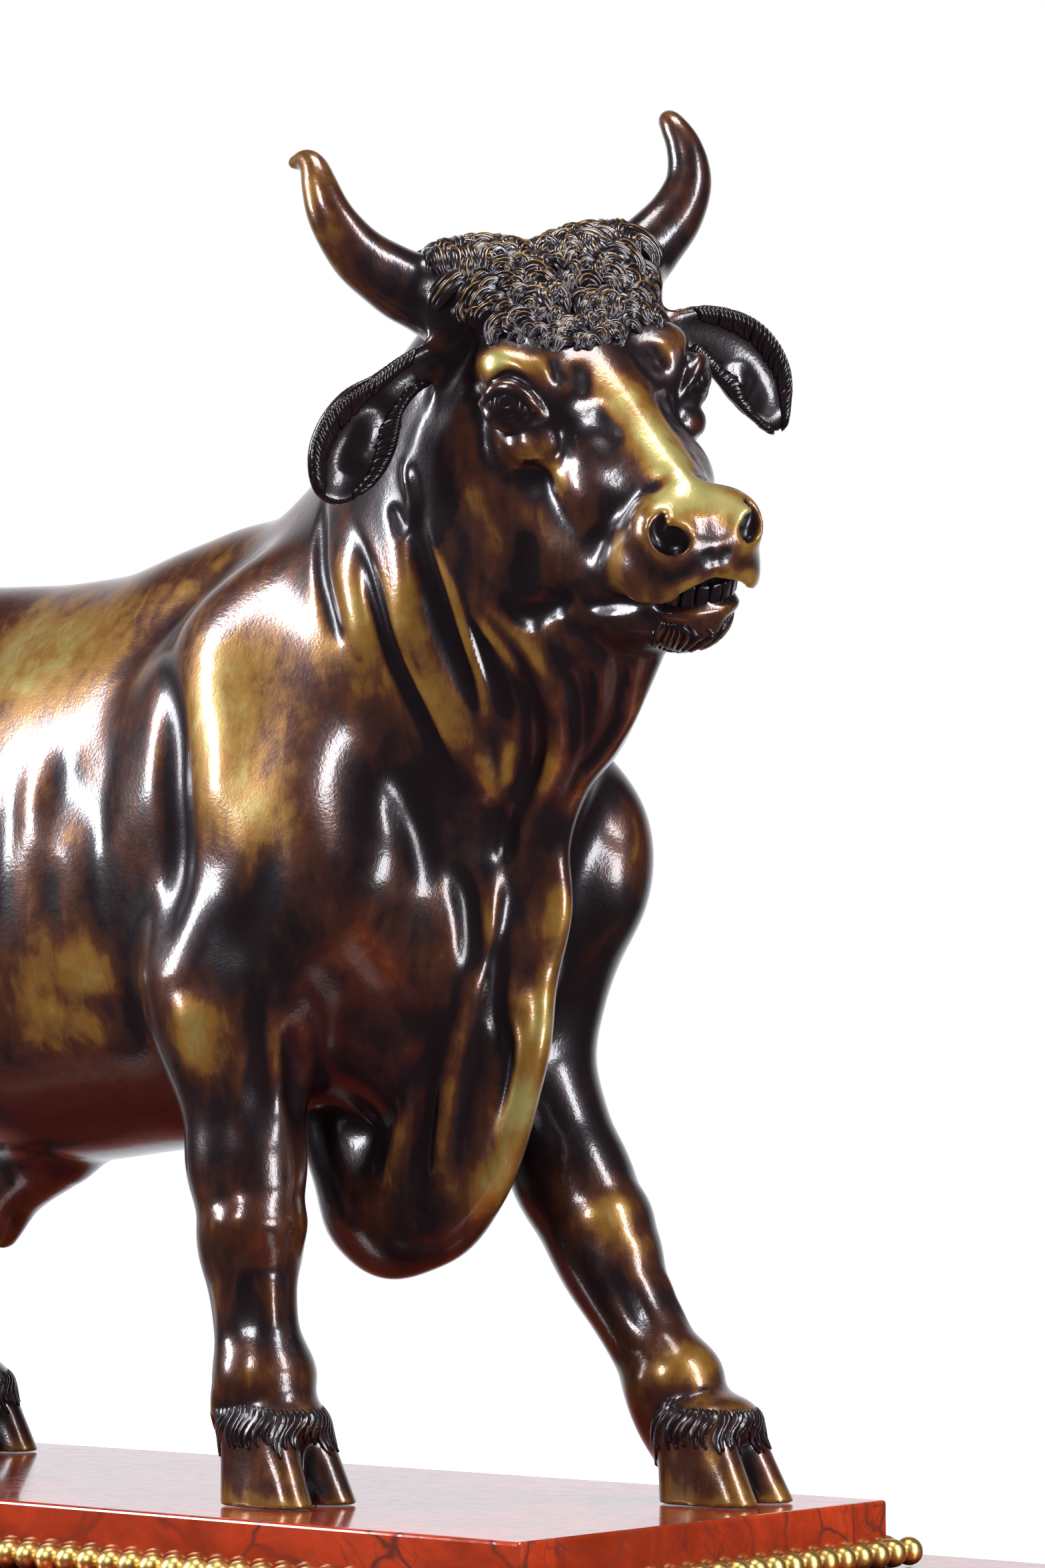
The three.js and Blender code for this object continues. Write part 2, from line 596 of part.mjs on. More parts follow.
function foreRight(c) {
  const y = -48;
  c.limb([[84, y, 172, 28], [88, y, 140, 22], [91, y, 112, 19]], { blend: 14 });
  c.limb([
    [91, y, 112, 19], [93, y, 96, 18], [93.5, y, 86, 18], [95, y, 72, 15.3], [97, y, 56, 14.4],
    [99, y, 44, 16], [99, y, 34, 15.5], [101, y, 22, 14.5],
  ], { blend: 6 });
  c.ball([100, y - 3, 92], [13, 17, 9], { blend: 5 });                                   // knee
  c.ball([103.5, y, 45], [14, 16, 8], { blend: 6 });                                     // fetlock
}

function foreLeft(c) {
  const y = 49;
  c.limb([[118, y, 170, 29], [138, y, 132, 22], [153, y, 106, 19]], { blend: 14 });
  c.limb([
    [153, y, 106, 19], [161, y, 93, 19], [169, y, 79, 18], [179, y, 62, 15], [188, y, 49, 14.4],
    [194, y, 40, 15.6], [198, y, 31, 15.5], [203, y, 21, 14.5],
  ], { blend: 6 });
  c.ball([168, y, 91], [14, 16.5, 9], { turn: [0, -28, 0], blend: 5 });                  // knee
  c.ball([199, y, 43], [14, 16, 8], { turn: [0, -20, 0], blend: 6 });                    // fetlock
}

// A cloven hoof: two claws with a cleft between, and two dew claws behind, turned by turn degrees.
function hoof(c, x, y, turn = 0) {
  const angle = THREE.MathUtils.degToRad(turn);
  const at = (ahead, out, z) => [
    x + ahead * Math.cos(angle) - out * Math.sin(angle),
    y + ahead * Math.sin(angle) + out * Math.cos(angle),
    z,
  ];
  const walls = [[-11, -9, 8.4, 8.4, 9, 10], [-5, 1, 8.6, 9.6, 9, 10.4], [-1, 12, 8.4, 11, 7.4, 8.2]];
  c.ball(at(-4, 0, 27), [14.5, 15.5, 9], { blend: 6 });                                  // coronet
  for (const s of SIDES) {
    for (const [top, foot, near, wide, r, footR] of walls) {
      c.limb([[...at(top, near * s, 23), r], [...at(foot, wide * s, -6), footR]], { blend: 4 });
    }
    c.ball(at(-20, 8.5 * s, 32), [5, 6, 8], { blend: 3 });                               // dew claw
  }
  c.limb([[...at(31, 0, -6), 7.6], [...at(23, 0, 4), 5.4], [...at(15, 0, 15), 3.2], [...at(9, 0, 26), 1.2]],
    { blend: 1.4, carve: true });                                                        // cleft
}

// A hind leg on one side, its foot set back by the given amount.
function hind(c, s, back) {
  const y = 45 * s;
  c.ball([-134 + back * 0.2, 40 * s, 214], [50, 26, 68], { turn: [0, -12, 0], blend: 18 });   // thigh
  c.ball([-101 + back * 0.35, 48 * s, 166], [24, 17, 28], { blend: 18 });                     // stifle
  c.limb([
    [-112 + back * 0.35, y, 172, 30], [-140 + back * 0.7, y, 136, 22], [-166 + back * 0.95, y, 113, 16],
  ], { blend: 14 });                                                                          // gaskin
  c.limb([
    [-166 + back * 0.95, y, 113, 16], [-176 + back, y, 100, 15.5], [-172 + back, y, 80, 13],
    [-165 + back, y, 54, 12.5], [-160 + back, y, 40, 14.5], [-156 + back, y, 32, 15.5],
    [-149 + back, y, 21, 15],
  ], { blend: 7 });                                                                           // shank
  c.limb([
    [-146 + back * 0.7, y, 164, 9], [-176 + back * 0.95, y, 130, 6], [-188 + back, y, 108, 8],
  ], { blend: 8 });                                                                           // hock tendon
  hoof(c, -141 + back, y);
}

// The tail falls from the croup, then swings over to lie on the left thigh.
function tail(c) {
  c.limb([
    [-186, 0, 308, 11], [-206, 1, 296, 9], [-214, 3, 270, 7], [-216, 12, 236, 6], [-208, 27, 206, 6],
    [-196, 40, 182, 6.5], [-184, 50, 160, 9], [-178, 55, 142, 8], [-176, 57, 128, 3],
  ], { blend: 6 });
}

function underside(c) {
  c.limb([[-50, 0, 116, 14], [-72, 0, 102, 11], [-80, 0, 86, 6]], { blend: 10 });
  c.ball([-132, 0, 118], [20, 18, 26], { blend: 10 });
}

// Rows of short curling locks between the horns and down over the brow, laid on the skin.
function forelock(c) {
  const locks = [];
  const lock = [[-4, -2, 0, 1.6], [0, 1.6, 1.6, 3], [4, -1.6, 0.2, 2.8], [8, 1.5, -1, 1.4]];
  [8, 9, 9, 8, 8, 7, 6].forEach((count, row) => {
    for (let i = 0; i < count; i++) {
      const f = -14 + 7.4 * row;
      const l = (i - (count - 1) / 2) * 8.2;
      const u = 18 - 0.01 * l * l - 0.22 * Math.max(0, f);
      const way = (i + row) % 2 ? 1 : -1;
      locks.push(lock.map(([ahead, aside, lift, r]) => {
        const p = c.snap(c.point([f + ahead, l + aside * way, u]));
        return [...p.addScaledVector(c.slope(p), lift).toArray(), r];
      }));
    }
  });
  c.place = WORLD;
  for (const run of locks) c.limb(run, { blend: 1.5, steps: 3 });
}

const mirrored = (rows, side) => rows.map(([f, l, ...rest]) => [f, l * side, ...rest]);

function head(c) {
  c.place = { turn: turning(HEAD.yaw, HEAD.pitch, HEAD.roll), origin: new THREE.Vector3(...HEAD.origin) };
  c.ball([22, 0, -34], [38, 34, 35], { blend: 8 });                                  // skull
  c.ball([24, 0, -12], [37, 29, 13], { blend: 10 });                                 // forehead
  c.limb([[30, 0, -28, 23], [64, 0, -30, 21], [96, 0, -35, 18]], { blend: 12 });     // face
  c.limb([[30, 0, -10, 13], [60, 0, -14, 11.5], [98, 0, -20, 9.5]], { blend: 10 });  // nose
  c.ball([108, 0, -30], [16.5, 20, 17], { blend: 8 });                               // muzzle
  c.limb([[12, 0, -54, 28], [44, 0, -57, 23], [80, 0, -56, 15], [106, 0, -53, 11], [116, 0, -48, 9]],
    { blend: 10 });                                                                  // jaw
  c.ball([110, 0, -53], [12, 14, 8.5], { blend: 8 });                                // chin
  for (const s of SIDES) {
    c.ball([26, 24 * s, -50], [38, 17, 34], { turn: [0, 8, 0], blend: 10 });         // cheek
    c.ball([68, 18 * s, -50], [26, 11, 16], { turn: [-8 * s, 6, 0], blend: 10 });    // side of the jaw
    c.ball([74, 14 * s, -26], [15, 10, 10], { turn: [-10 * s, 14, 0], blend: 9 });   // side of the face
    c.ball([109.2, 12.5 * s, -22.5], [11.4, 9.3, 9.3], { blend: 6 });                // nostril wing
    c.ball([107, 13.5 * s, -36], [16, 9.5, 8], { turn: [0, 14, 0], blend: 7 });      // upper lip
    c.ball([33, 24.5 * s, -6], [16, 11.5, 9.6], { turn: [-14 * s, 6, 0], blend: 9 });   // brow
    c.ball([49, 31 * s, -20.6], [7.6, 5.4, 4.2], { blend: 8 });                      // under the eye
    c.ball([EYE[0] + 3, (EYE[1] + 5) * s, EYE[2]], [10.5, 7.5, 8.6],
      { turn: [30 * s, 0, 0], blend: 3, carve: true });                              // socket
    c.ball([EYE[0], EYE[1] * s, EYE[2]], 8.3, { blend: 1 });
    c.limb(mirrored(UPPER_LID, s), { blend: 2.4 });
    c.limb(mirrored(LOWER_LID, s), { blend: 2.4 });
    c.limb(mirrored(HORN, s), { blend: 7 });
    const ear = mirrored(EARS[s], s);
    c.limb(ear, { blend: 6, flat: 0.4, face: [1, 0, 0.35] });
    c.limb(ear.slice(1).map(([f, l, u, r]) => [f + 4.4, l, u + 1.6, r * 0.7]),
      { blend: 2, flat: 0.4, face: [1, 0, 0.35], carve: true });
  }
  c.ball([-6, 0, 0], [14, 28, 13], { blend: 9 });                                    // poll
  for (const s of SIDES) {
    c.ball([7, 17 * s, 6], [24, 17, 9.5], { turn: [0, 8, 0], blend: 7 });            // mass of the forelock
    c.limb(mirrored([[-9, 24, 4, 13], [-5, 36, 2, 12.6], [2, 40, -5, 8]], s), { blend: 6 });
    for (const [run, width, height] of HEAD_STROKES) c.fold(mirrored(run, s), width, height);
    c.limb(mirrored(NOSTRIL, s), { blend: 1.6, carve: true });
    c.limb(mirrored(MOUTH, s), { blend: 2, carve: true });
  }
  forelock(c);
}

function ribs(c) {
  for (let x = -70; x <= 40; x += 22) {
    for (const s of SIDES) {
      c.fold([[x + 6, 60 * s, 270], [x, 70 * s, 235], [x - 2, 72 * s, 200], [x + 4, 68 * s, 168]], 7, -1);
    }
  }
}

function bull() {
  const c = new Clay([-250, -118, -8], [302, 112, 478], GRID);
  torso(c);
  shoulders(c);
  neck(c);
  dewlap(c);
  foreRight(c);
  foreLeft(c);
  hoof(c, 112, -48);
  hoof(c, 218.5, 49, 3);
  hind(c, LEFT, 0);
  hind(c, RIGHT, -42);
  tail(c);
  underside(c);
  head(c);
  for (const [points, width, height] of FOLDS) c.fold(points, width, height);
  ribs(c);
  c.each(c.low, [400, 200, 20], (at, x, y, z) => {
    c.values[at] = Math.max(c.values[at], GAP - z);
  });
  const care = ([x, y, z]) => (x > 185 && z > 270 ? HEAD_CARE : 1);
  return thin(outer(skin(c)), BULL_TRIANGLES, care);
}

function meshOf(name, { positions, triangles }, material) {
  const used = new Map();
  const flat = [];
  const index = [];
  for (const tri of triangles) {
    for (const v of tri) {
      if (!used.has(v)) {
        used.set(v, used.size);
        flat.push(...positions[v]);
      }
      index.push(used.get(v));
    }
  }
  const geometry = new THREE.BufferGeometry();
  geometry.setAttribute('position', new THREE.Float32BufferAttribute(flat, 3));
  geometry.setIndex(index);
  geometry.computeVertexNormals();
  const mesh = new THREE.Mesh(geometry, material);
  mesh.name = name;
  return mesh;
}

function slab(name, { length, width, height, chamfer }, bottom) {
  const outline = new THREE.Shape();
  const x = length / 2;
  const y = width / 2;
  outline.moveTo(-x, -y);
  outline.lineTo(x, -y);
  outline.lineTo(x, y);
  outline.lineTo(-x, y);
  outline.closePath();
  const geometry = new THREE.ExtrudeGeometry(outline, {
    depth: height - 2 * chamfer, bevelEnabled: true, bevelSegments: 1, bevelThickness: chamfer,
    bevelSize: chamfer, bevelOffset: -chamfer,
  });
  const mesh = new THREE.Mesh(geometry, RED_MARBLE);
  mesh.name = name;
  mesh.position.set(0, 0, bottom + chamfer);
  return mesh;
}

// The bead moulding: one ring of touching beads round the foot of the upper slab.
function beadMoulding(bottom) {
  const x = UPPER_SLAB.length / 2 + BEAD.standOff;
  const y = UPPER_SLAB.width / 2 + BEAD.standOff;
  const corners = [[x, -y], [x, y], [-x, y], [-x, -y]];
  const counts = [BEAD.alongWidth, BEAD.alongLength, BEAD.alongWidth, BEAD.alongLength];
  const rings = [];
  corners.forEach((from, side) => {
    const to = corners[(side + 1) % 4];
    const out = side % 2 === 0 ? [Math.sign(from[0]), 0] : [0, Math.sign(from[1])];
    for (let i = 0; i < counts[side]; i++) {
      for (const half of [0, 0.5]) {
        const t = (i + half) / counts[side];
        const p = [from[0] + (to[0] - from[0]) * t, from[1] + (to[1] - from[1]) * t];
        const corner = i === 0 && half === 0;
        const away = corner ? [Math.sign(from[0]) * Math.SQRT1_2, Math.sign(from[1]) * Math.SQRT1_2] : out;
        rings.push({ p, away, radius: half === 0 ? BEAD.radius : BEAD.neck });
      }
    }
  });
  const positions = [];
  const triangles = [];
  rings.forEach(({ p, away, radius }, r) => {
    for (let k = 0; k < BEAD.sides; k++) {
      const angle = ((k + 0.5) / BEAD.sides) * 2 * Math.PI;
      const reach = radius * Math.cos(angle);
      positions.push([p[0] + away[0] * reach, p[1] + away[1] * reach,
        bottom + BEAD.radius + radius * Math.sin(angle)]);
    }
    const next = ((r + 1) % rings.length) * BEAD.sides;
    for (let k = 0; k < BEAD.sides; k++) {
      const a = r * BEAD.sides + k;
      const b = r * BEAD.sides + ((k + 1) % BEAD.sides);
      triangles.push([a, next + k, b], [b, next + k, next + ((k + 1) % BEAD.sides)]);
    }
  });
  return meshOf('bead_moulding', { positions, triangles }, GILT);
}

const model = new THREE.Group();

const figure = meshOf('bull', bull(), BRONZE);
figure.position.set(0, 0, GROUND);

model.add(
  slab('lower_slab', LOWER_SLAB, 0),
  slab('upper_slab', UPPER_SLAB, LOWER_SLAB.height + GAP),
  beadMoulding(LOWER_SLAB.height + GAP),
  figure,
);

export default model;
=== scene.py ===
"""A bull in patinated bronze on a red marble plinth with a gilt bead moulding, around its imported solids."""

import math

import bpy
import numpy as np
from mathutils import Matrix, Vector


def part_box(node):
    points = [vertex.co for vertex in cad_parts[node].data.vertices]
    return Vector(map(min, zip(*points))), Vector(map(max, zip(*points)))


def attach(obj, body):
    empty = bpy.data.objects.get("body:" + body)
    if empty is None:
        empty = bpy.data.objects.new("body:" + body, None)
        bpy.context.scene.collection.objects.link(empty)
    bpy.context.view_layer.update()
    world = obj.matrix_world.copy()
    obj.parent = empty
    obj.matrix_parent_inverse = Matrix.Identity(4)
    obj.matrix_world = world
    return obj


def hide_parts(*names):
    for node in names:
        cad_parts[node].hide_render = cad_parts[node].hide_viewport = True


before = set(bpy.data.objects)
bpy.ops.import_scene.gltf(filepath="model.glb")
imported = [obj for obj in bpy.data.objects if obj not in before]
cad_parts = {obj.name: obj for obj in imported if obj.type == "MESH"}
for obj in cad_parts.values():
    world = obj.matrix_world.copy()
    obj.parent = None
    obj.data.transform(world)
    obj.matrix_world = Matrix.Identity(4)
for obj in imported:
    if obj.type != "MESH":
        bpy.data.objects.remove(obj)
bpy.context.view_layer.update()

import openvdb
from bpy.props import FloatProperty, FloatVectorProperty, IntProperty, PointerProperty
from mathutils import Vector

bl_info = {
    "name": "Bronze bull",
    "version": (1, 0, 0),
    "blender": (4, 5, 0),
    "location": "View3D > Sidebar > Bull",
    "description": "A patinated bronze bull on a red marble plinth with a gilt bead moulding",
    "category": "Add Mesh",
}

# Sides as factors of the outward direction, and a millimetre in metres.
RIGHT, LEFT = -1, 1
SIDES = (RIGHT, LEFT)
MM = 0.001
# Top of the upper slab, where the bull stands, and the distance kept far from any skin, in millimetres.
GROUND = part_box("upper_slab")[1].z / MM
FAR = 60.0
# Share of a stroke over which it fades in, and out again.
FADE = 0.4
# The hooves' soles are cut flat this far above the slab.
SOLE = 0.4


class BullFigure(bpy.types.PropertyGroup):
    """Sizes of the bronze figure."""

    grain: FloatProperty(
        name="Clay grain", description="Step of the grid that the figure is shaped on",
        default=0.00105, min=0.0008, max=0.004, precision=5, unit="LENGTH")
    triangles: IntProperty(
        name="Triangles", description="Triangles that are kept of each of the figure's two skins",
        default=192000, max=199000)
    eye_radius: FloatProperty(
        name="Eye radius", description="Radius of an eyeball",
        default=0.0086, min=0.005, max=0.012, precision=4, unit="LENGTH")
    strand: FloatProperty(
        name="Strand", description="Half width of one lock of hair",
        default=0.0019, min=0.001, max=0.003, precision=4, unit="LENGTH")


class BronzeFinish(bpy.types.PropertyGroup):
    """Colours of the bronze."""

    lacquer: FloatVectorProperty(
        name="Lacquer", description="Near black brown of the patina",
        default=(0.011, 0.0055, 0.0075), min=0.0, max=1.0, subtype="COLOR")
    oxblood: FloatVectorProperty(
        name="Oxblood", description="Red brown where the patina is thin",
        default=(0.07, 0.019, 0.007), min=0.0, max=1.0, subtype="COLOR")
    amber: FloatVectorProperty(
        name="Amber", description="Fringe of the rubbed metal",
        default=(0.195, 0.09, 0.011), min=0.0, max=1.0, subtype="COLOR")
    rubbed: FloatVectorProperty(
        name="Rubbed metal", description="Olive gold of the rubbed high points",
        default=(0.27, 0.225, 0.07), min=0.0, max=1.0, subtype="COLOR")


class PlinthFinish(bpy.types.PropertyGroup):
    """Sizes and colours of the plinth."""

    marble: FloatVectorProperty(
        name="Marble", description="Ground colour of the red marble",
        default=(0.25, 0.024, 0.006), min=0.0, max=1.0, subtype="COLOR")
    vein: FloatVectorProperty(
        name="Vein", description="Dark veins in the marble",
        default=(0.05, 0.016, 0.012), min=0.0, max=1.0, subtype="COLOR")
    gilt: FloatVectorProperty(
        name="Gilt", description="Gilding of the beads",
        default=(0.7, 0.47, 0.15), min=0.0, max=1.0, subtype="COLOR")
    bead_radius: FloatProperty(
        name="Bead radius", description="Radius of one bead",
        default=0.005, min=0.003, max=0.007, precision=4, unit="LENGTH")


def millimetres(size):
    """A size from a property, which holds it in metres with single precision."""
    return float(np.float32(size / MM))


def turning(yaw, pitch, roll):
    """Rotation for a forward axis turned by yaw, dipped by pitch and rolled, in degrees."""
    y, p, r = np.radians([yaw, pitch, roll])
    cz, sz, cy, sy, cx, sx = np.cos(y), np.sin(y), np.cos(p), np.sin(p), np.cos(r), np.sin(r)
    about_z = np.array([[cz, -sz, 0], [sz, cz, 0], [0, 0, 1]])
    about_y = np.array([[cy, 0, sy], [0, 1, 0], [-sy, 0, cy]])
    about_x = np.array([[1, 0, 0], [0, cx, -sx], [0, sx, cx]])
    return about_z @ about_y @ about_x


# Frames to shape in: the whole figure's, and the head's, turned to the right, dipped and tilted.
WORLD = (np.zeros(3), np.eye(3))
HEAD = (np.array([206.6, -31.8, 390.3]), turning(-15.3, 37.2, 15.2))


def smooth_run(rows, steps):
    """A smooth run through rows of any width."""
    p = np.asarray(rows, float)
    if len(p) == 2:
        return p
    ends = np.vstack([2 * p[0] - p[1], p, 2 * p[-1] - p[-2]])
    t = (np.arange(steps) / steps)[:, None]
    out = []
    for i in range(len(p) - 1):
        a, b, c, d = ends[i : i + 4]
        curve = (2 * a - 5 * b + 4 * c - d) * t**2 + (3 * b - a - 3 * c + d) * t**3
        out.append(0.5 * (2 * b + (c - a) * t + curve))
    return np.vstack([*out, p[-1:]])


class Clay:
    """Distances to a surface on a grid, in millimetres, negative inside. Shapes join and cut softly."""

    def __init__(self, low, high, step):
        self.step = step
        self.low = np.array(low, float)
        self.count = np.ceil((np.array(high, float) - self.low) / step).astype(int) + 1
        self.axes = [(self.low[k] + step * np.arange(self.count[k])).astype(np.float32) for k in range(3)]
        self.values = np.full(tuple(self.count), FAR, np.float32)
        self.place = WORLD

    def point(self, p):
        """A point of the frame that is shaped in, as the grid's."""
        return self.place[0] + self.place[1] @ np.asarray(p, float)

    def window(self, low, high):
        """The part of the grid between two corners, and its places along each axis."""
        a = np.clip(np.floor((np.asarray(low) - self.low) / self.step).astype(int), 0, self.count)
        b = np.clip(np.ceil((np.asarray(high) - self.low) / self.step).astype(int) + 1, 0, self.count)
        cut = tuple(slice(a[k], b[k]) for k in range(3))
        shapes = ((-1, 1, 1), (1, -1, 1), (1, 1, -1))
        return cut, [self.axes[k][cut[k]].reshape(shapes[k]) for k in range(3)]

    def join(self, cut, other, blend, carve):
        """Adds a shape to a part of the grid, or carves it away, with a seam as soft as blend."""
        old = self.values[cut]
        sign = -1 if carve else 1
        other = sign * other
        share = np.clip(0.5 + sign * 0.5 * (other - old) / blend, 0, 1)
        self.values[cut] = other + (old - other) * share - sign * blend * share * (1 - share)

    def ball(self, centre, radii, turn=(0, 0, 0), blend=8.0, carve=False):
        """An ellipsoid. turn is yaw, pitch and roll in degrees."""
        middle = self.point(centre)
        r = np.broadcast_to(np.asarray(radii, float), (3,))
        axes = self.place[1] @ turning(*turn)
        reach = np.sqrt(((axes * r) ** 2).sum(1)) + blend + 2 * self.step
        cut, grid = self.window(middle - reach, middle + reach)
        x, y, z = (grid[k] - np.float32(middle[k]) for k in range(3))
        near, slope = 0, 0
        for k in range(3):
            u = x * np.float32(axes[0, k]) + y * np.float32(axes[1, k]) + z * np.float32(axes[2, k])
            u = u / np.float32(r[k])
            near = near + u * u
            u = u / np.float32(r[k])
            slope = slope + u * u
        near = np.sqrt(near)
        other = near * (near - 1) / np.maximum(np.sqrt(slope), np.float32(1e-6))
        self.join(cut, np.maximum(other, -np.float32(r.min())), blend, carve)

    def limb(self, rows, blend=6.0, carve=False, steps=8, flat=1.0, face=(0, 1, 0)):
        """A run of round cones through rows of x, y, z, radius. flat under 1 squeezes it along face."""
        run = smooth_run(rows, steps)
        ends = np.array([self.point(row[:3]) for row in run])
        radii = run[:, 3]
        n = self.place[1] @ np.asarray(face, float)
        n = n / np.linalg.norm(n)
        reach = radii.max() + blend + 2 * self.step
        cut, _ = self.window(ends.min(0) - reach, ends.max(0) + reach)
        other = np.full(self.values[cut].shape, FAR, np.float32)
        for a, b, ra, rb in zip(ends, ends[1:], radii, radii[1:]):
            room = max(ra, rb) + blend + 2 * self.step
            part, grid = self.window(np.minimum(a, b) - room, np.maximum(a, b) + room)
            local = tuple(slice(part[k].start - cut[k].start, part[k].stop - cut[k].start) for k in range(3))
            along = (b - a).astype(np.float32)
            x, y, z = (grid[k] - np.float32(a[k]) for k in range(3))
            length2 = np.float32(max(along @ along, 1e-9))
            t = np.clip((x * along[0] + y * along[1] + z * along[2]) / length2, 0, 1)
            x, y, z = x - t * along[0], y - t * along[1], z - t * along[2]
            squared = x * x + y * y + z * z
            if flat != 1.0:
                w = x * np.float32(n[0]) + y * np.float32(n[1]) + z * np.float32(n[2])
                squared = squared + w * w * np.float32(1 / flat**2 - 1)
            gap = np.sqrt(np.maximum(squared, 0)) - np.float32(ra) - t * np.float32(rb - ra)
            other[local] = np.minimum(other[local], gap * np.float32(flat))
        self.join(cut, other, blend, carve)

    def fold(self, points, width, height):
        """Raises or sinks the skin softly along a run of points on it, fading at both ends."""
        run = self.snap([self.point(p) for p in smooth_run(points, 6)])
        count = len(run) - 1
        reach = 2.6 * width + self.step
        cut, _ = self.window(run.min(0) - reach, run.max(0) + reach)
        best = np.full(self.values[cut].shape, 1e9, np.float32)
        along = np.zeros(self.values[cut].shape, np.float32)
        for i in range(count):
            a, b = run[i], run[i + 1]
            part, grid = self.window(np.minimum(a, b) - reach, np.maximum(a, b) + reach)
            local = tuple(slice(part[k].start - cut[k].start, part[k].stop - cut[k].start) for k in range(3))
            ab = (b - a).astype(np.float32)
            x, y, z = (grid[k] - np.float32(a[k]) for k in range(3))
            t = np.clip((x * ab[0] + y * ab[1] + z * ab[2]) / np.float32(max(ab @ ab, 1e-9)), 0, 1)
            squared = (x - t * ab[0]) ** 2 + (y - t * ab[1]) ** 2 + (z - t * ab[2]) ** 2
            nearer = squared < best[local]
            along[local] = np.where(nearer, (i + t) / count, along[local])
            best[local] = np.where(nearer, squared, best[local])
        end = np.clip(np.minimum(along, 1 - along) / FADE, 0, 1)
        end = end * end * (3 - 2 * end)
        self.values[cut] -= (height * end * np.exp(-best / width**2)).astype(np.float32)

    def soften(self, *reaches):
        """Smooths everything shaped so far, over the given distances."""
        for reach in reaches:
            s = max(1, round(reach / self.step))
            for axis in range(3):
                v = np.moveaxis(self.values, axis, 0)
                mixed = v[s:-s] * 0.5 + (v[: -2 * s] + v[2 * s :]) * 0.25
                v[s:-s] = mixed

    def ripple(self, cell, height, seed):
        """Uneven hand work: soft random swells a cell wide over everything shaped so far."""
        draw = np.random.default_rng(seed)
        sizes = [int(n * self.step / cell) + 3 for n in self.count]
        swell = draw.normal(size=sizes).astype(np.float32) * height
        for k in range(3):
            place = np.arange(self.count[k]) * self.step / cell
            low = place.astype(int)
            t = place - low
            t = (t * t * (3 - 2 * t)).astype(np.float32).reshape([-1 if j == k else 1 for j in range(3)])
            swell = np.take(swell, low, axis=k) * (1 - t) + np.take(swell, low + 1, axis=k) * t
        self.values += swell

    def sample(self, points):
        """Distances at points that lie between those of the grid."""
        f = np.clip((np.asarray(points, float) - self.low) / self.step, 0, self.count - 1.001)
        i = f.astype(int)
        t = (f - i).astype(np.float32)
        flat = self.values.reshape(-1)
        rows = (self.count[1] * self.count[2], self.count[2], 1)
        base = i @ np.array(rows)
        total = 0
        for corner in range(8):
            bits = (corner & 1, corner >> 1 & 1, corner >> 2)
            share = 1
            for k in range(3):
                share = share * (t[:, k] if bits[k] else 1 - t[:, k])
            total = total + share * flat[base + sum(b * r for b, r in zip(bits, rows))]
        return total

    def slope(self, points, reach=None):
        """Directions out of the skin at points."""
        h = reach or self.step
        g = np.stack([self.sample(points + h * e) - self.sample(points - h * e) for e in np.eye(3)], 1)
        return g / np.maximum(np.linalg.norm(g, axis=1, keepdims=True), 1e-9)

    def bulge(self, points, reach):
        """How strongly the skin is rounded outward at points: curvature times reach, negative in hollows."""
        around = sum(self.sample(points + reach * e) + self.sample(points - reach * e) for e in np.eye(3))
        return (around - 6 * self.sample(points)) / reach

    def snap(self, points, rounds=6):
        """Points moved onto the skin."""
        p = np.array(points, float)
        for _ in range(rounds):
            p = p - self.sample(p)[:, None] * self.slope(p)
        return p


def torso(c):
    """The barrel, the hindquarters and the chest."""
    c.ball((18, 0, 218), (108, 68, 101), blend=10)  # ribs
    c.ball((-45, 0, 210), (95, 70, 99), blend=20)  # belly
    c.ball((-100, 0, 236), (72, 60, 84), blend=20)  # loin
    c.ball((-150, 0, 250), (54, 56, 70), blend=20)  # croup
    c.limb([(-196, 0, 292, 24), (-120, 0, 300, 25), (-40, 0, 298, 24), (10, 0, 296, 24), (50, 0, 306, 24)],
           blend=22)  # back
    c.ball((108, 0, 210), (58, 54, 82), turn=(0, -12, 0), blend=22)  # chest
    for s in SIDES:
        c.ball((-178, 33 * s, 258), (38, 24, 46), turn=(0, 20, 0), blend=18)  # buttock
        c.ball((-118, 42 * s, 282), (28, 14, 24), blend=30)  # hip point


def shoulders(c):
    """The shoulders, the left one set forward with its leg."""
    c.ball((142, 50, 180), (22, 20, 30), blend=16)  # the left arm, in front
    for s, ahead in ((RIGHT, 0), (LEFT, 20)):
        c.ball((78 + ahead, 44 * s, 248), (40, 25, 70), turn=(0, 24, 0), blend=14)  # blade
        c.ball((118 + ahead * 1.3, 46 * s, 216), (42, 28, 44), turn=(0, -20, 0), blend=14)  # point
        c.ball((88 + ahead, 50 * s, 176), (34, 24, 42), turn=(0, 10, 0), blend=14)  # upper arm


def neck(c):
    """The neck, bent to the right."""
    c.limb([(40, 0, 290, 36), (90, -4, 303, 38), (140, -15, 329, 38), (184, -27, 362, 36)],
           blend=22, flat=0.85)
    c.limb([(80, 0, 240, 60), (126, -6, 262, 54), (160, -16, 300, 47), (186, -23, 334, 39)], blend=24)
    c.limb([(126, 0, 205, 42), (156, -4, 244, 33), (184, -12, 274, 29), (204, -20, 304, 28)], blend=20)


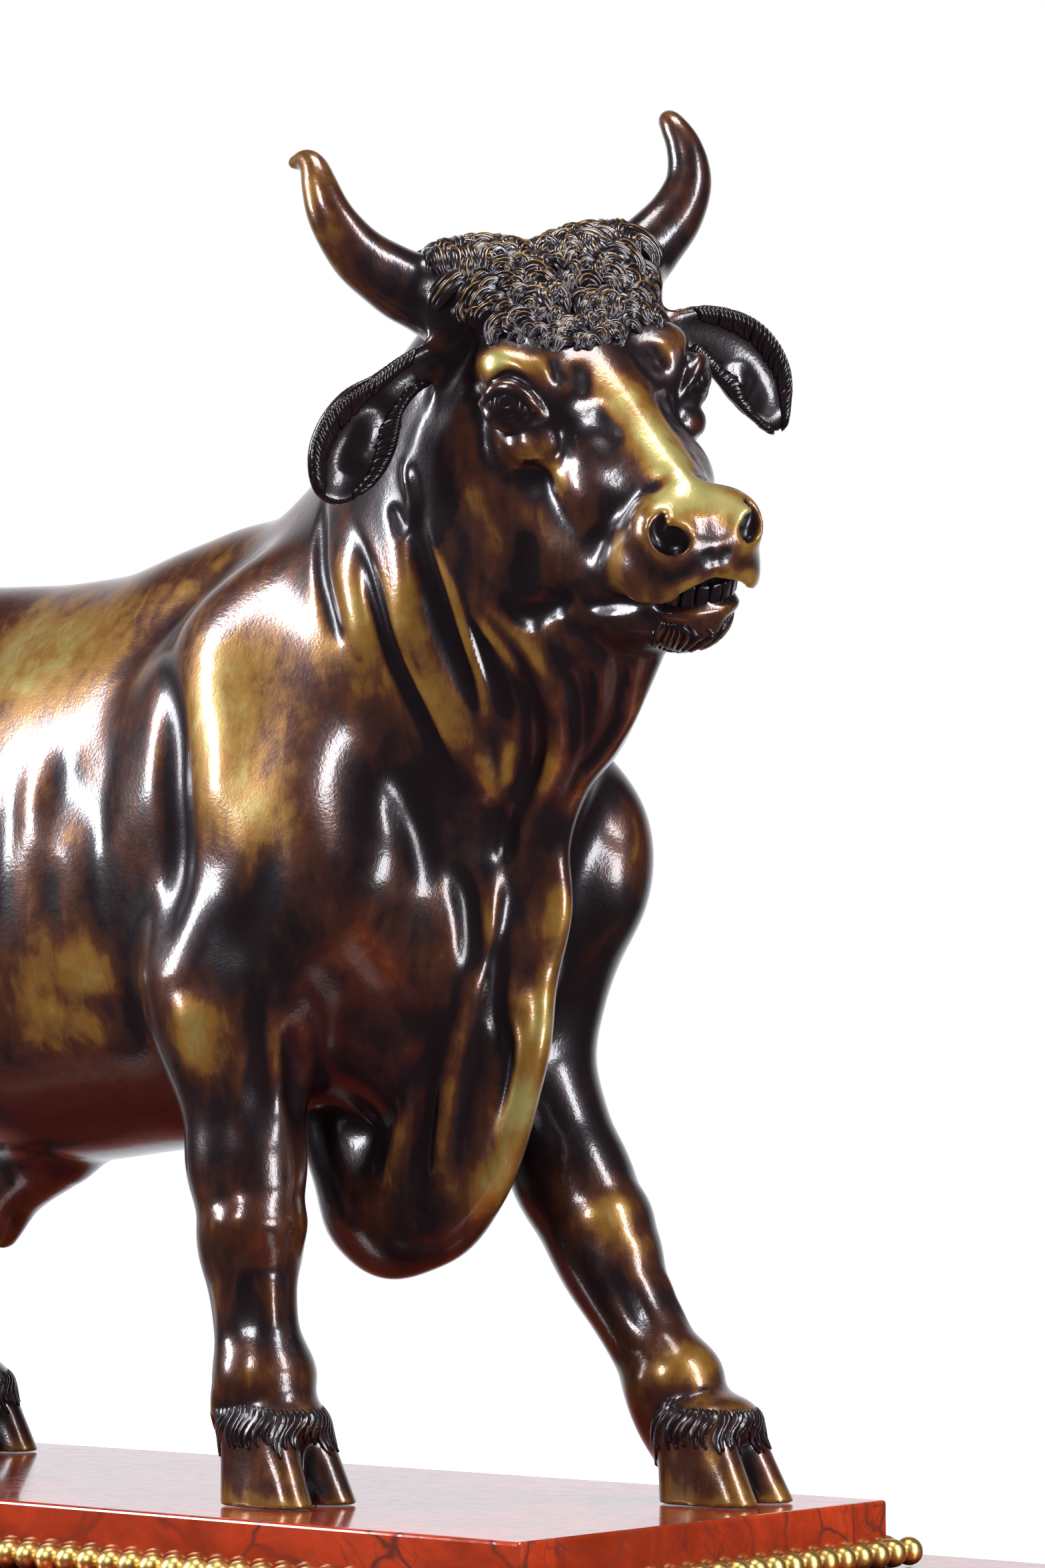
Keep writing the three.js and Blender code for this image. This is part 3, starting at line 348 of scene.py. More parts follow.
def dewlap(c):
    """The fold of skin from the jaw to the belly, and what fills it out."""
    c.limb([
        (250, -29, 283, 9), (232, -20, 265, 9), (211, -10, 247, 9), (194, -5, 233, 8.5),
        (184, -2, 216, 9), (183, 1, 196, 9.5), (176, 1, 174, 9), (176, -2, 152, 9),
        (169, -1, 130, 9), (160, 0, 110, 9.5), (143, 0, 92, 11), (128, 0, 86, 11),
        (112, 0, 85, 12), (98, 0, 93, 12),
    ], blend=13, flat=0.7)
    c.limb([(204, -12, 268, 20), (226, -24, 284, 16), (244, -30, 294, 9)], blend=14)  # throat
    c.limb([(94, 0, 118, 16), (112, 0, 99, 16), (130, 0, 110, 17), (141, 0, 146, 20), (146, 0, 180, 25)],
           blend=18)  # breast


def fore_right(c):
    """The right foreleg, which stands straight."""
    y = -48
    c.limb([(84, y, 172, 28), (88, y, 140, 22), (91, y, 112, 19)], blend=14)
    c.limb([(91, y, 112, 19), (93, y, 96, 18), (93.5, y, 86, 18), (95, y, 72, 15.3), (97, y, 56, 14.4),
            (99, y, 44, 15.8), (99.5, y, 34, 16.2), (101, y, 22, 14.5)], blend=6)
    c.ball((100, y - 3, 92), (13, 17, 9), blend=5)  # knee
    c.ball((102, y, 42), (13.4, 15.8, 9), blend=8)  # fetlock


def fore_left(c):
    """The left foreleg, which steps forward."""
    y = 49
    c.limb([(118, y, 170, 29), (138, y, 132, 22), (153, y, 106, 19)], blend=14)
    c.limb([(153, y, 106, 19), (161, y, 93, 19), (169, y, 79, 18), (179, y, 62, 15), (188, y, 49, 14.4),
            (194, y, 40, 15.6), (198, y, 31, 16.2), (203, y, 21, 14.5)], blend=6)
    c.ball((168, y, 91), (14, 16.5, 9), turn=(0, -28, 0), blend=5)  # knee
    c.ball((196.5, y, 40), (13.4, 15.8, 9), turn=(0, -20, 0), blend=8)  # fetlock


def hind(c, s, back):
    """A hind leg on one side, its foot set back by the given amount."""
    y = 45 * s
    c.ball((-134 + back * 0.2, 40 * s, 214), (50, 26, 68), turn=(0, -12, 0), blend=18)  # thigh
    c.ball((-101 + back * 0.35, 48 * s, 166), (24, 17, 28), blend=18)  # stifle
    c.limb([(-112 + back * 0.35, y, 172, 30), (-140 + back * 0.7, y, 136, 22),
            (-166 + back * 0.95, y, 113, 16)], blend=14)  # gaskin
    c.limb([(-166 + back * 0.95, y, 113, 16), (-176 + back, y, 100, 15.5), (-172 + back, y, 80, 13),
            (-165 + back, y, 54, 12.5), (-160 + back, y, 40, 14.5), (-156 + back, y, 32, 15.5),
            (-149 + back, y, 21, 15)], blend=7)  # shank
    c.limb([(-146 + back * 0.7, y, 164, 9), (-176 + back * 0.95, y, 130, 6),
            (-188 + back, y, 108, 8)], blend=8)  # hock tendon


def hoof_place(x, y, turn):
    """A function that places a point ahead of, out from and above a hoof's middle."""
    cos, sin = math.cos(math.radians(turn)), math.sin(math.radians(turn))
    return lambda ahead, out, z: (x + ahead * cos - out * sin, y + ahead * sin + out * cos, z)


def hoof(c, x, y, turn):
    """A cloven hoof: two claws with a cleft between, and two dew claws behind."""
    at = hoof_place(x, y, turn)
    c.ball(at(-4, 0, 27), (14.5, 15.5, 9), blend=6)  # coronet
    for s in SIDES:
        rows = ((-11, -9, 8.4, 8.4, 9, 10), (-5, 1, 8.6, 9.6, 9, 10.4), (-1, 12, 8.4, 11, 7.4, 8.2))
        for top, foot, near, wide, r, r_foot in rows:
            c.limb([(*at(top, near * s, 23), r), (*at(foot, wide * s, -6), r_foot)], blend=4)
        c.ball(at(-20, 8.5 * s, 32), (5, 6, 8), blend=3)  # dew claw
    c.limb([(*at(31, 0, -6), 7.6), (*at(23, 0, 4), 5.4), (*at(15, 0, 15), 3.2), (*at(9, 0, 26), 1.2)],
           blend=1.4, carve=True)  # cleft


def tail(c):
    """The tail falls from the croup, then swings over to lie on the left thigh."""
    c.limb([(-186, 0, 308, 11), (-206, 1, 296, 9), (-214, 3, 270, 7), (-216, 12, 236, 6), (-208, 27, 206, 6),
            (-196, 40, 182, 6.5), (-184, 50, 160, 9), (-178, 55, 142, 8), (-176, 57, 128, 3)], blend=6)


def underside(c):
    """The sheath and the scrotum."""
    c.limb([(-50, 0, 116, 14), (-72, 0, 102, 11), (-80, 0, 86, 6)], blend=10)
    c.ball((-132, 0, 118), (20, 18, 26), blend=10)


# Rows of the head are forward along the face, out to the side and out of the forehead, and a radius.
HORN = [
    (-2, 18, 1, 15), (-8, 30, 1, 13.5), (-13.5, 41, 2.5, 12), (-17, 50, 7.5, 10.6), (-20, 58, 13.5, 9.4),
    (-24, 64, 21, 8), (-29, 66.5, 26.5, 7), (-35, 67, 31.8, 5.8), (-41, 66.5, 35.1, 4.6),
    (-46, 67, 35.6, 3.6), (-50, 69, 33.2, 2.2),
]
EARS = {
    RIGHT: [
        (8, 34, -9, 7), (9, 44, -11.5, 6.6), (10, 53, -15, 6.8), (12, 61.5, -21, 8.6),
        (14, 68.4, -28.5, 13.4), (16, 73.6, -35.6, 14), (17.6, 77, -42, 10.8), (18.4, 78.4, -45.6, 7),
    ],
    LEFT: [
        (12, 34, -12, 6.5), (12, 46, -10, 6.5), (13, 57, -13, 9.5), (16, 68, -20, 12.5),
        (20, 76, -30, 11.5), (24, 80, -40, 6), (25, 82, -45, 2),
    ],
}
# The way an ear's bowl faces.
EAR_FACE = (1, 0, 0.35)

# Where an eye sits, and the runs around it and the mouth.
EYE = (42, 31.5, -10.5)
UPPER_LID = [
    (37, 39, -12.3, 1), (40.6, 38.8, -6.6, 1.9), (43.3, 35.4, -4, 2.1), (47, 31.4, -4.6, 2),
    (49.6, 28, -7.6, 1.6), (50, 25.4, -11, 1),
]
LOWER_LID = [
    (37, 39, -12.3, 1), (42.4, 38.8, -14.9, 1.7), (46.4, 35.4, -16.2, 1.9), (49.6, 31, -14.6, 1.6),
    (50, 25.4, -11, 1),
]
BROW = [(22, 32, -9), (28, 34, -3), (33.5, 32, 0), (39, 29.4, 1), (45, 27.4, -0.6), (51, 25, -4.6)]
NOSTRIL = [
    (112.5, 15.4, -14.4, 1.5), (114.4, 17.2, -17.8, 2.7), (116.4, 15.4, -21.6, 3.2),
    (118.4, 12.4, -21.8, 2.9), (119.8, 10.8, -19.2, 1.9),
]
MOUTH = [(126, 0, -37.4, 4.7), (122.5, 8.5, -39.8, 4.4), (116, 16.5, -43.2, 3.0), (104, 20, -50.5, 1.8)]
# Strokes on both sides of the head: a run of points, its width, and its height.
HEAD_STROKES = [
    ([(35.2, 36.5, -6.2), (38.5, 33.6, -1.9), (44, 30.6, -1.2), (49.6, 28.2, -4.4)], 1.7, -1.6),  # lid crease
    ([(37.3, 17, 1.6), (44.3, 18.6, -1.3), (49.6, 15.8, -3.5)], 2.6, -1.0),  # frown
    ([(36, 21.5, 3), (42, 22.5, 0), (48, 20, -3)], 2.8, 0.6),
    ([(41.6, 9.6, 1.7), (49, 11.3, -1.1), (57.5, 13.8, -5.6)], 2.8, -0.8),
    ([(54, 11.5, -4), (62, 12.6, -6.5), (70, 11.6, -9), (80, 10.6, -11)], 4.6, -1.2),  # beside the nose
    ([(52, 22, -9), (56, 25.5, -15), (61, 26.8, -19), (66.5, 29, -25), (69, 30, -32)], 3.6, 1.1),  # tear line
    ([(51, 29, -20.5), (56.5, 32.6, -25.5), (62, 34, -32), (64, 34, -40)], 5, -0.8),
    ([(84, 18.6, -20), (88, 20.6, -27), (88, 21, -36), (84, 20.5, -46)], 6, -0.9),  # muzzle edge
    ([(98, 0, -10.5), (97, 8, -12), (94, 14, -16)], 4, -0.9),
    ([(113, 18, -14), (117, 14.4, -13.2), (120, 9, -14.6), (121.5, 6.6, -19)], 2.2, 0.6),  # nostril rim
    ([(90, 22.5, -53), (84, 22, -61), (77, 21, -69), (72, 19.5, -79), (70, 15, -92)],
     3.2, 0.9),  # mouth corner
    ([(84, 24, -54), (77, 25, -63), (70, 24, -72)], 4, -1.0),
    ([(112, 19, -46), (103, 22, -51), (94, 23, -56.5), (86, 23, -60)], 2.0, -2.2),  # end of the mouth
    ([(123.5, 3.5, -21), (125.5, 1.5, -29)], 2.4, -0.9),
    ([(30, 37.5, -36), (44, 37.5, -44), (54, 35, -56), (52, 33, -70)], 6, 1.4),  # cheek muscle
    ([(60, 33, -42), (64, 31, -54), (60, 30, -68)], 5.5, -1.2),
]


def mirrored(rows, side):
    """Rows of the left half of the head, taken to a side."""
    return [(row[0], row[1] * side, *row[2:]) for row in rows]


def head(c):
    """The head in its own frame: masses first, then the ears and horns, then the strokes."""
    c.place = HEAD
    c.ball((22, 0, -34), (38, 34, 35), blend=8)  # skull
    c.ball((24, 0, -12), (37, 29, 13), blend=10)  # forehead
    c.limb([(30, 0, -28, 23), (64, 0, -30, 21), (96, 0, -35, 18)], blend=12)  # face
    c.limb([(30, 0, -10, 13), (60, 0, -14, 11.5), (98, 0, -20, 9.5)], blend=10)  # nose
    c.ball((108, 0, -30), (16.5, 20, 17), blend=8)  # muzzle
    c.limb([(12, 0, -54, 28), (44, 0, -57, 23), (80, 0, -56, 15), (106, 0, -53, 11), (116, 0, -48, 9)],
           blend=10)  # jaw
    c.ball((110, 0, -53), (12, 14, 8.5), blend=8)  # chin
    for s in SIDES:
        c.ball((26, 24 * s, -50), (38, 17, 34), turn=(0, 8, 0), blend=10)  # cheek
        c.ball((68, 18 * s, -50), (26, 11, 16), turn=(-8 * s, 6, 0), blend=10)  # side of the jaw
        c.ball((74, 14 * s, -26), (15, 10, 10), turn=(-10 * s, 14, 0), blend=9)  # side of the face
        c.ball((109.2, 12.5 * s, -22.5), (11.4, 9.3, 9.3), blend=6)  # nostril wing
        c.ball((107, 13.5 * s, -36), (16, 9.5, 8), turn=(0, 14, 0), blend=7)  # upper lip
        c.ball((98, 13.5 * s, -43.5), (15, 8.5, 7), turn=(0, -28, 0), blend=8)  # lip towards the cheek
        c.ball((95, 12 * s, -60), (16, 8.5, 7.5), turn=(0, -20, 0), blend=8)  # lower lip, side
        c.ball((33, 24.5 * s, -6), (16, 11.5, 9.6), turn=(-14 * s, 6, 0), blend=9)  # brow
        c.ball((49, 29.6 * s, -21), (8, 5.4, 4.6), blend=10)  # under the eye
        c.ball((EYE[0] + 3, (EYE[1] + 5) * s, EYE[2]), (10.5, 7.5, 8.6), turn=(30 * s, 0, 0),
               blend=3, carve=True)  # eye socket
        c.ball((EYE[0], EYE[1] * s, EYE[2]), 8.3, blend=1)
        c.limb(mirrored(UPPER_LID, s), blend=2.4)
        c.limb(mirrored(LOWER_LID, s), blend=2.4)
        c.limb(mirrored(HORN, s), blend=7, steps=14)
        ear = mirrored(EARS[s], s)
        c.limb(ear, blend=6, flat=0.36, face=EAR_FACE)
        bowl = [(ahead + 3.2, out, up + 1, r * 0.82) for ahead, out, up, r in ear[1:]]
        c.limb(bowl, blend=1.4, flat=0.4, face=EAR_FACE, carve=True)
    c.ball((-6, 0, 0), (14, 28, 13), blend=9)  # poll
    for s in SIDES:
        c.fold(mirrored([(15, 64, -23), (18.5, 71, -33), (20, 75, -43)], s), 4.2, 2.6)  # ridge in the ear
        c.ball((6, 16 * s, 4), (23, 16, 8.5), turn=(0, 8, 0), blend=7)  # mass of the forelock
        c.limb([(-9, 22 * s, 2, 12), (-5, 32 * s, 0.5, 11.6), (2, 35 * s, -6, 7)], blend=6)
        c.fold(mirrored(BROW, s), 5, 1.3)
        for run, width, height in HEAD_STROKES:
            c.fold(mirrored(run, s), width, height)
        c.limb(mirrored(NOSTRIL, s), blend=1.6, carve=True)
        c.ball((118, 13.4 * s, -18.6), (3.7, 3.2, 2.7), blend=2, carve=True)
        c.limb(mirrored(MOUTH, s), blend=2, carve=True)
        c.fold(mirrored([(124, 0, -44.4), (121.5, 9, -46), (114, 16.5, -49)], s), 2.4, 1.5)  # lower lip
        c.fold(mirrored([(128, 0, -30), (124.5, 9.5, -33.4), (115, 18.5, -38.5), (104, 21.5, -45)], s),
               2.6, 1.2)  # edge of the upper lip
    c.place = WORLD


# Skin folds of the neck, chest and flank: a run of points on the skin, its width, and its height
# (a furrow where that is negative).
FOLDS = [
    # behind the right ear and down the neck
    ([(122, -47, 338), (130, -55, 316), (140, -61, 293), (147, -62, 278)], 3, -2.5),
    ([(136, -55, 323), (148, -61, 303), (155, -61, 283), (156, -58, 270)], 6, 2.2),
    ([(144, -57, 327), (156, -62, 309), (162, -62, 291), (165, -57, 274), (169, -50, 259),
      (172, -43, 246), (173, -34, 229)], 2.8, -3.2),
    ([(162, -61, 334), (170, -63, 316), (174, -61, 301), (173, -59, 286), (175, -53, 273),
      (178, -44, 254), (180, -35, 241), (179, -24, 228), (176, -18, 214)], 7, 3.2),
    ([(168, -63, 325), (172, -63, 318), (175, -63, 311)], 2.2, -1.8),
    ([(174, -63, 340), (178, -63, 326), (178, -62, 313)], 2.6, 1.8),
    ([(180, -64, 332), (180, -62, 313), (182, -59, 299), (183, -55, 285), (186, -45, 265),
      (187, -38, 252)], 4, -3.6),
    ([(182, -63, 324), (185, -60, 305), (189, -56, 293), (190, -49, 277), (189, -41, 260),
      (185, -35, 247)], 1.9, 2.2),
    ([(190, -54, 291), (193, -47, 277), (195, -39, 262), (194, -33, 252)], 2.8, -2.2),
    ([(192, -54, 291), (197, -48, 282), (201, -43, 274), (202, -36, 262)], 2.2, 1.8),
    # edge of the jaw, running into the dewlap
    ([(189, -57, 302), (197, -52, 291), (205, -44, 281), (211, -38, 272), (212, -31, 260),
      (209, -25, 249), (200, -18, 241), (189, -15, 228), (182, -13, 214), (178, -11, 203),
      (179, -10, 191)], 4.2, 3.2),
    ([(199, -43, 274), (203, -35, 261), (200, -28, 250), (190, -18, 235), (183, -15, 221)], 3.2, -3),
    ([(183, -38, 248), (181, -29, 236), (180, -23, 228)], 3.4, 2),
    ([(193, -32, 251), (186, -27, 240), (183, -24, 232)], 2.6, 1.8),
    ([(183, -21, 231), (180, -18, 219), (175, -15, 208)], 2.8, -2.6),
    ([(177, -17, 215), (172, -17, 201), (172, -17, 189), (173, -15, 176)], 4.5, 2.4),
    ([(160, -52, 244), (162, -48, 229), (162, -41, 213), (161, -36, 197)], 7, -2.6),
    ([(168, -33, 213), (168, -24, 197), (168, -22, 182), (165, -21, 167)], 4, -3),
    # throat
    ([(241, -38, 278), (235, -30, 263), (223, -21, 249), (206, -10, 234)], 3.4, -2.4),
    ([(244, -22, 264), (232, -17, 253), (217, -14, 241), (205, -10, 233), (194, -3, 217)], 2.2, 1.6),
    ([(203, -51, 294), (208, -45, 287), (220, -43, 287), (234, -46, 288)], 4, -2.2),
    ([(225, -39, 277), (222, -31, 263), (215, -23, 249), (204, -15, 237)], 5, -2.6),
    # dewlap and chest
    ([(183, -6, 178), (183, -6, 162), (180, -8, 142), (173, -7, 124), (164, -7, 106), (153, -8, 90)], 5, 2.4),
    ([(175, -14, 205), (174, -15, 182), (171, -13, 162), (172, -12, 144), (166, -10, 117)], 3, -2.8),
    ([(170, -21, 186), (166, -20, 166), (157, -18, 144), (149, -15, 117), (148, -12, 92)], 3.4, 2.8),
    ([(153, -23, 149), (142, -18, 119), (137, -16, 97)], 3.6, -2.8),
    ([(145, -23, 137), (131, -19, 117), (125, -19, 97)], 4, 2.2),
    ([(144, -40, 173), (152, -26, 153), (141, -23, 133)], 5, -2),
    ([(118, -59, 162), (112, -47, 140), (109, -40, 119)], 4, -3),
    # right upper arm and elbow
    ([(94, -76, 171), (93, -75, 155), (92, -69, 135)], 8, 2.6),
    ([(113, -69, 177), (111, -64, 155), (107, -59, 133), (106, -61, 115)], 6, -2.4),
    ([(46, -37, 306), (74, -69, 266), (79, -71, 232), (79, -72, 199), (83, -78, 170)], 7, -3.6),
    ([(62, -37, 310), (95, -68, 272), (101, -71, 240), (95, -71, 209)], 11, 2.2),
    ([(122, -72, 234), (123, -73, 208), (110, -71, 182), (103, -73, 165)], 9, -2.2),
    ([(-11, -64, 173), (22, -59, 167), (69, -70, 153)], 8, -1.0),
    ([(134, -72, 216), (149, -62, 201), (144, -43, 176), (135, -34, 152)], 12, 2),
    ([(3, -61, 263), (25, -66, 240), (40, -67, 214)], 9, -1.4),
    ([(-8, -64, 254), (11, -68, 230), (21, -68, 204)], 9, 1.2),
    # behind the left shoulder
    ([(57, 58, 292), (66, 66, 268), (70, 70, 244), (72, 72, 220), (72, 74, 196), (74, 74, 176)], 7, -4),
]

# Strokes on a foreleg: height above the plinth and angle out from the front, then width and height.
# They are laid around an axis at FORELEG_OUT from the middle, and settle on the skin.
FORELEG_OUT, FORELEG_RADIUS = 48.5, 15
FORELEG_STROKES = [
    ([(107, -30), (101, 5), (97, 40), (103, 75)], 4, 0.5),  # upper edge of the knee
    ([(86, -50), (83, -10), (85, 40), (89, 90)], 4, 0.4),  # lower edge of the knee
    ([(79, -45), (75, 0), (76, 50), (80, 85)], 3.4, -0.4),
    ([(78, 20), (66, 22), (54, 24)], 2.6, 0.8),  # front tendon
    ([(80, 60), (66, 58), (52, 58)], 3, -1),
    ([(82, 100), (66, 98), (52, 100)], 3, 1),  # back tendon
    ([(80, -50), (66, -48), (52, -50)], 3, -1),
]


def foreleg_strokes(c, s, rows):
    """Lays the strokes on a foreleg whose axis runs through rows of height and x."""
    heights, places = zip(*rows)
    for run, width, height in FORELEG_STROKES:
        points = []
        for z, angle in run:
            ahead = FORELEG_RADIUS * math.cos(math.radians(angle))
            out = FORELEG_OUT * s + FORELEG_RADIUS * math.sin(math.radians(angle)) * s
            points.append((np.interp(z, heights, places) + ahead, out, z))
        c.fold(points, width, height)


def ribs(c):
    """Faint furrows between the ribs."""
    for x in range(-70, 41, 22):
        for s in SIDES:
            run = [(x + 6, 60 * s, 270), (x, 70 * s, 235), (x - 2, 72 * s, 200), (x + 4, 68 * s, 168)]
            c.fold(run, 7, -1)


# Where each hoof stands: x, y and its turn outward.
HOOVES = ((112, -48, 0), (218, 49, 3), (-141, 45, 0), (-183, -45, 0))
# How far the right hind foot stands behind the left one.
HIND_BACK = -42
# Room for the whole figure.
ROOM = ((-245, -112, -8), (300, 112, 480))


def sculpt(step):
    """The whole figure as clay."""
    c = Clay(*ROOM, step)
    torso(c)
    shoulders(c)
    neck(c)
    dewlap(c)
    c.soften(1, 2, 4)
    fore_right(c)
    fore_left(c)
    hind(c, LEFT, 0)
    hind(c, RIGHT, HIND_BACK)
    c.soften(1, 2)
    tail(c)
    underside(c)
    foreleg_strokes(c, RIGHT, ((40, 99), (56, 97), (72, 95), (86, 93.5), (104, 92)))
    foreleg_strokes(c, LEFT, ((40, 194), (49, 188), (62, 179), (79, 169), (93, 161), (106, 153)))
    for x, y, turn in HOOVES:
        hoof(c, x, y, turn)
    c.ripple(cell=27.0, height=0.3, seed=5)
    head(c)
    for points, width, height in FOLDS:
        c.fold(points, width, height)
    ribs(c)
    c.values = np.maximum(c.values, SOLE - c.axes[2][None, None, :])
    return c


def skin(c):
    """The clay's surface as points in millimetres and quads."""
    grid = openvdb.FloatGrid(background=float(FAR))
    grid.copyFromArray(np.clip(c.values, -3 * c.step, 3 * c.step))
    points, quads = grid.convertToQuads(isovalue=0.0)
    points = points * c.step + c.low
    return c.snap(points, 2), quads


def to_metres(points):
    """Points in millimetres above the upper slab, in the frame's metres."""
    return (np.asarray(points, float) + (0, 0, GROUND)) * MM


def mesh_object(name, points, faces, smooth=True):
    """A new object from points in millimetres above the upper slab, and faces."""
    mesh = bpy.data.meshes.new(name)
    mesh.from_pydata([tuple(p) for p in to_metres(points)], [], [tuple(int(v) for v in f) for f in faces])
    mesh.validate()
    if smooth:
        mesh.shade_smooth()
    obj = bpy.data.objects.new(name, mesh)
    bpy.context.scene.collection.objects.link(obj)
    return obj


def fast_mesh(name, points, faces):
    """A mesh from many points in metres and quads or triangles of one size."""
    mesh = bpy.data.meshes.new(name)
    sides = faces.shape[1]
    mesh.vertices.add(len(points))
    mesh.vertices.foreach_set("co", np.ascontiguousarray(points, np.float32).ravel())
    mesh.loops.add(faces.size)
    mesh.loops.foreach_set("vertex_index", np.ascontiguousarray(faces, np.int32).ravel())
    mesh.polygons.add(len(faces))
    mesh.polygons.foreach_set("loop_start", np.arange(0, faces.size, sides, dtype=np.int32))
    mesh.polygons.foreach_set("loop_total", np.full(len(faces), sides, np.int32))
    mesh.update(calc_edges=True)
    return mesh


def dress(obj, slot, *nodes):
    """Ties a finished piece to the frame."""
    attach(obj, "root")
    if nodes:
        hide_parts(*nodes)


def box_of(node):
    """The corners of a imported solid's box, in millimetres above the upper slab."""
    return [np.array(corner) / MM - (0, 0, GROUND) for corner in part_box(node)]


def from_head(points):
    """Points in the head's frame, taken to the figure's."""
    return HEAD[0] + np.asarray(points) @ HEAD[1].T


def wrapped(rings, around):
    """Quads over rings of points that follow one another."""
    faces = []
    for i in range(rings - 1):
        for j in range(around):
            a, b = i * around + j, i * around + (j + 1) % around
            faces.append((a, b, b + around, a + around))
    return faces


def closed(rings, around):
    """The same, with a face over the first ring and one over the last."""
    last = (rings - 1) * around
    return [*wrapped(rings, around), tuple(range(around))[::-1], tuple(range(last, last + around))]


def vertices_of(mesh):
    """A mesh's points."""
    co = np.empty(len(mesh.vertices) * 3, np.float32)
    mesh.vertices.foreach_get("co", co)
    return co.reshape(-1, 3).astype(float)


def set_number(mesh, name, values):
    """Keeps a number for each point of a mesh, for its material to read."""
    layer = mesh.attributes.new(name, "FLOAT", "POINT")
    layer.data.foreach_set("value", np.ascontiguousarray(values, np.float32))


def thin(mesh, target, care):
    """Thins a mesh to a number of triangles, and leaves the vertices marked in care as they are."""
    obj = bpy.data.objects.new("thinning", mesh)
    bpy.context.scene.collection.objects.link(obj)
    group = obj.vertex_groups.new(name="care")
    group.add(np.nonzero(care)[0].tolist(), 1.0, "REPLACE")
    step = obj.modifiers.new("thin", "DECIMATE")
    step.ratio = min(1.0, target / (len(mesh.loops) - 2 * len(mesh.polygons)))
    step.vertex_group = "care"
    step.invert_vertex_group = True
    step.vertex_group_factor = 1.0
    step.use_collapse_triangulate = True
    graph = bpy.context.evaluated_depsgraph_get()
    done = bpy.data.meshes.new_from_object(obj.evaluated_get(graph))
    bpy.data.objects.remove(obj)
    return done


# Places rubbed back to the metal: x, y, z, reach and strength, on the head and on the body.
# The patina is kept where the strength is negative.
HEAD_RUBS = [
    (44, -34, -10, 8, -0.5), (44, 34, -10, 8, -0.5), (40, -24, 2, 8, 0.6), (33, -33, -1, 6, 0.6),
    (50, -36, -24, 4, -0.15), (46, -8, 1, 9, 0.6), (38, 22, 2, 9, 0.6), (62, -4, -3, 9, 0.75),
    (79, -1, -6, 10, 0.75), (94, -2, -10, 10, 0.6), (106, -8, -12, 10, 0.85), (112, 5, -12, 9, 0.7),
    (101, -20, -31, 8, 0.6), (104, -20, -40, 6, 0.5), (99, 20, -31, 8, 0.5), (66, -24, -26, 6, 0.35),
    (118, 0, -51, 9, -0.4), (117, -11, -48, 8, -0.4), (117, 11, -48, 8, -0.4), (98, -19, -60, 12, -0.35),
    (90, -22, -53, 5, 0.05), (-45, -67, 36, 8, 0.05), (-45, 67, 36, 8, 0.05), (-22, -60, 16, 11, 0.28),
    (-12, -42, 4, 10, 0.16), (-22, 60, 16, 11, 0.25),
]
BODY_RUBS = [
    (96, -71, 258, 30, 0.5), (122, -71, 222, 24, 0.5), (95, -78, 155, 18, 0.6), (113, -58, 150, 12, 0.35),
    (-16, -40, 302, 40, 0.55), (60, -30, 318, 40, 0.3), (-120, -40, 300, 50, 0.4), (158, -60, 290, 20, 0.2),
    (178, -48, 258, 16, 0.2), (194, -26, 240, 14, 0.3), (190, -4, 192, 12, 0.45), (184, -4, 160, 14, 0.5),
    (177, -6, 130, 14, 0.6), (166, -10, 104, 14, 0.45), (178, 38, 95, 14, 0.6), (190, 46, 78, 12, 0.35),
    (204, 45, 54, 14, 0.35), (214, 45, 38, 9, 0.3), (92, -64, 95, 12, 0.12), (110, -58, 92, 10, -0.1),
    (112, -47, 51, 9, -0.05), (116, -44, 40, 8, 0.15), (0, -60, 160, 30, 0.45), (30, -60, 176, 26, 0.35),
    (15, -68, 236, 30, 0.2), (184, 40, 222, 18, 0.35), (150, -40, 196, 24, 0.3), (-160, -48, 260, 40, 0.3),
    (-150, 48, 270, 50, 0.35), (60, 66, 240, 50, 0.35), (20, 60, 290, 50, 0.4),
]


def wear(c, points):
    """How far the patina is rubbed off at points of the skin, and how deep they lie in hollows."""
    fine, middle, broad = (c.bulge(points, reach) for reach in (2.0, 5.0, 11.0))
    rub = 0.04 + np.clip(fine, 0, 1) * 0.14 + np.clip(middle - 0.15, 0, 1) * 0.2
    hollow = np.clip(-fine * 1.2, 0, 1) * 0.5 + np.clip(-middle, 0, 1) * 0.6
    hollow = hollow + np.clip(-broad * 0.8, 0, 1) * 0.4
    for place, rows in ((HEAD, HEAD_RUBS), (WORLD, BODY_RUBS)):
        for x, y, z, reach, strength in rows:
            spot = place[0] + place[1] @ np.array([x, y, z], float)
            away = np.linalg.norm(points - spot, axis=1)
            rub = rub + strength * np.exp(-(away / reach) ** 2)
    ahead, out, up = ((points - HEAD[0]) @ HEAD[1]).T
    # the ears' bowls and the scalp under the forelock stay dark
    ear = np.clip((np.abs(out) - 40) / 8, 0, 1) * np.clip((-2 - up) / 5, 0, 1)
    ear = ear * np.clip((ahead + 4) / 6, 0, 1) * (up > -62) * (ahead < 40)
    scalp = np.exp(-((ahead - 8) / 30) ** 2) * (up > -8) * np.clip((33 - np.abs(out)) / 8, 0, 1)
    rub = rub * (1 - 0.7 * ear) * (1 - 0.8 * scalp)
    return np.clip(rub, 0, 1.2), np.clip(hollow + 0.3 * ear + 0.3 * scalp, 0, 1)


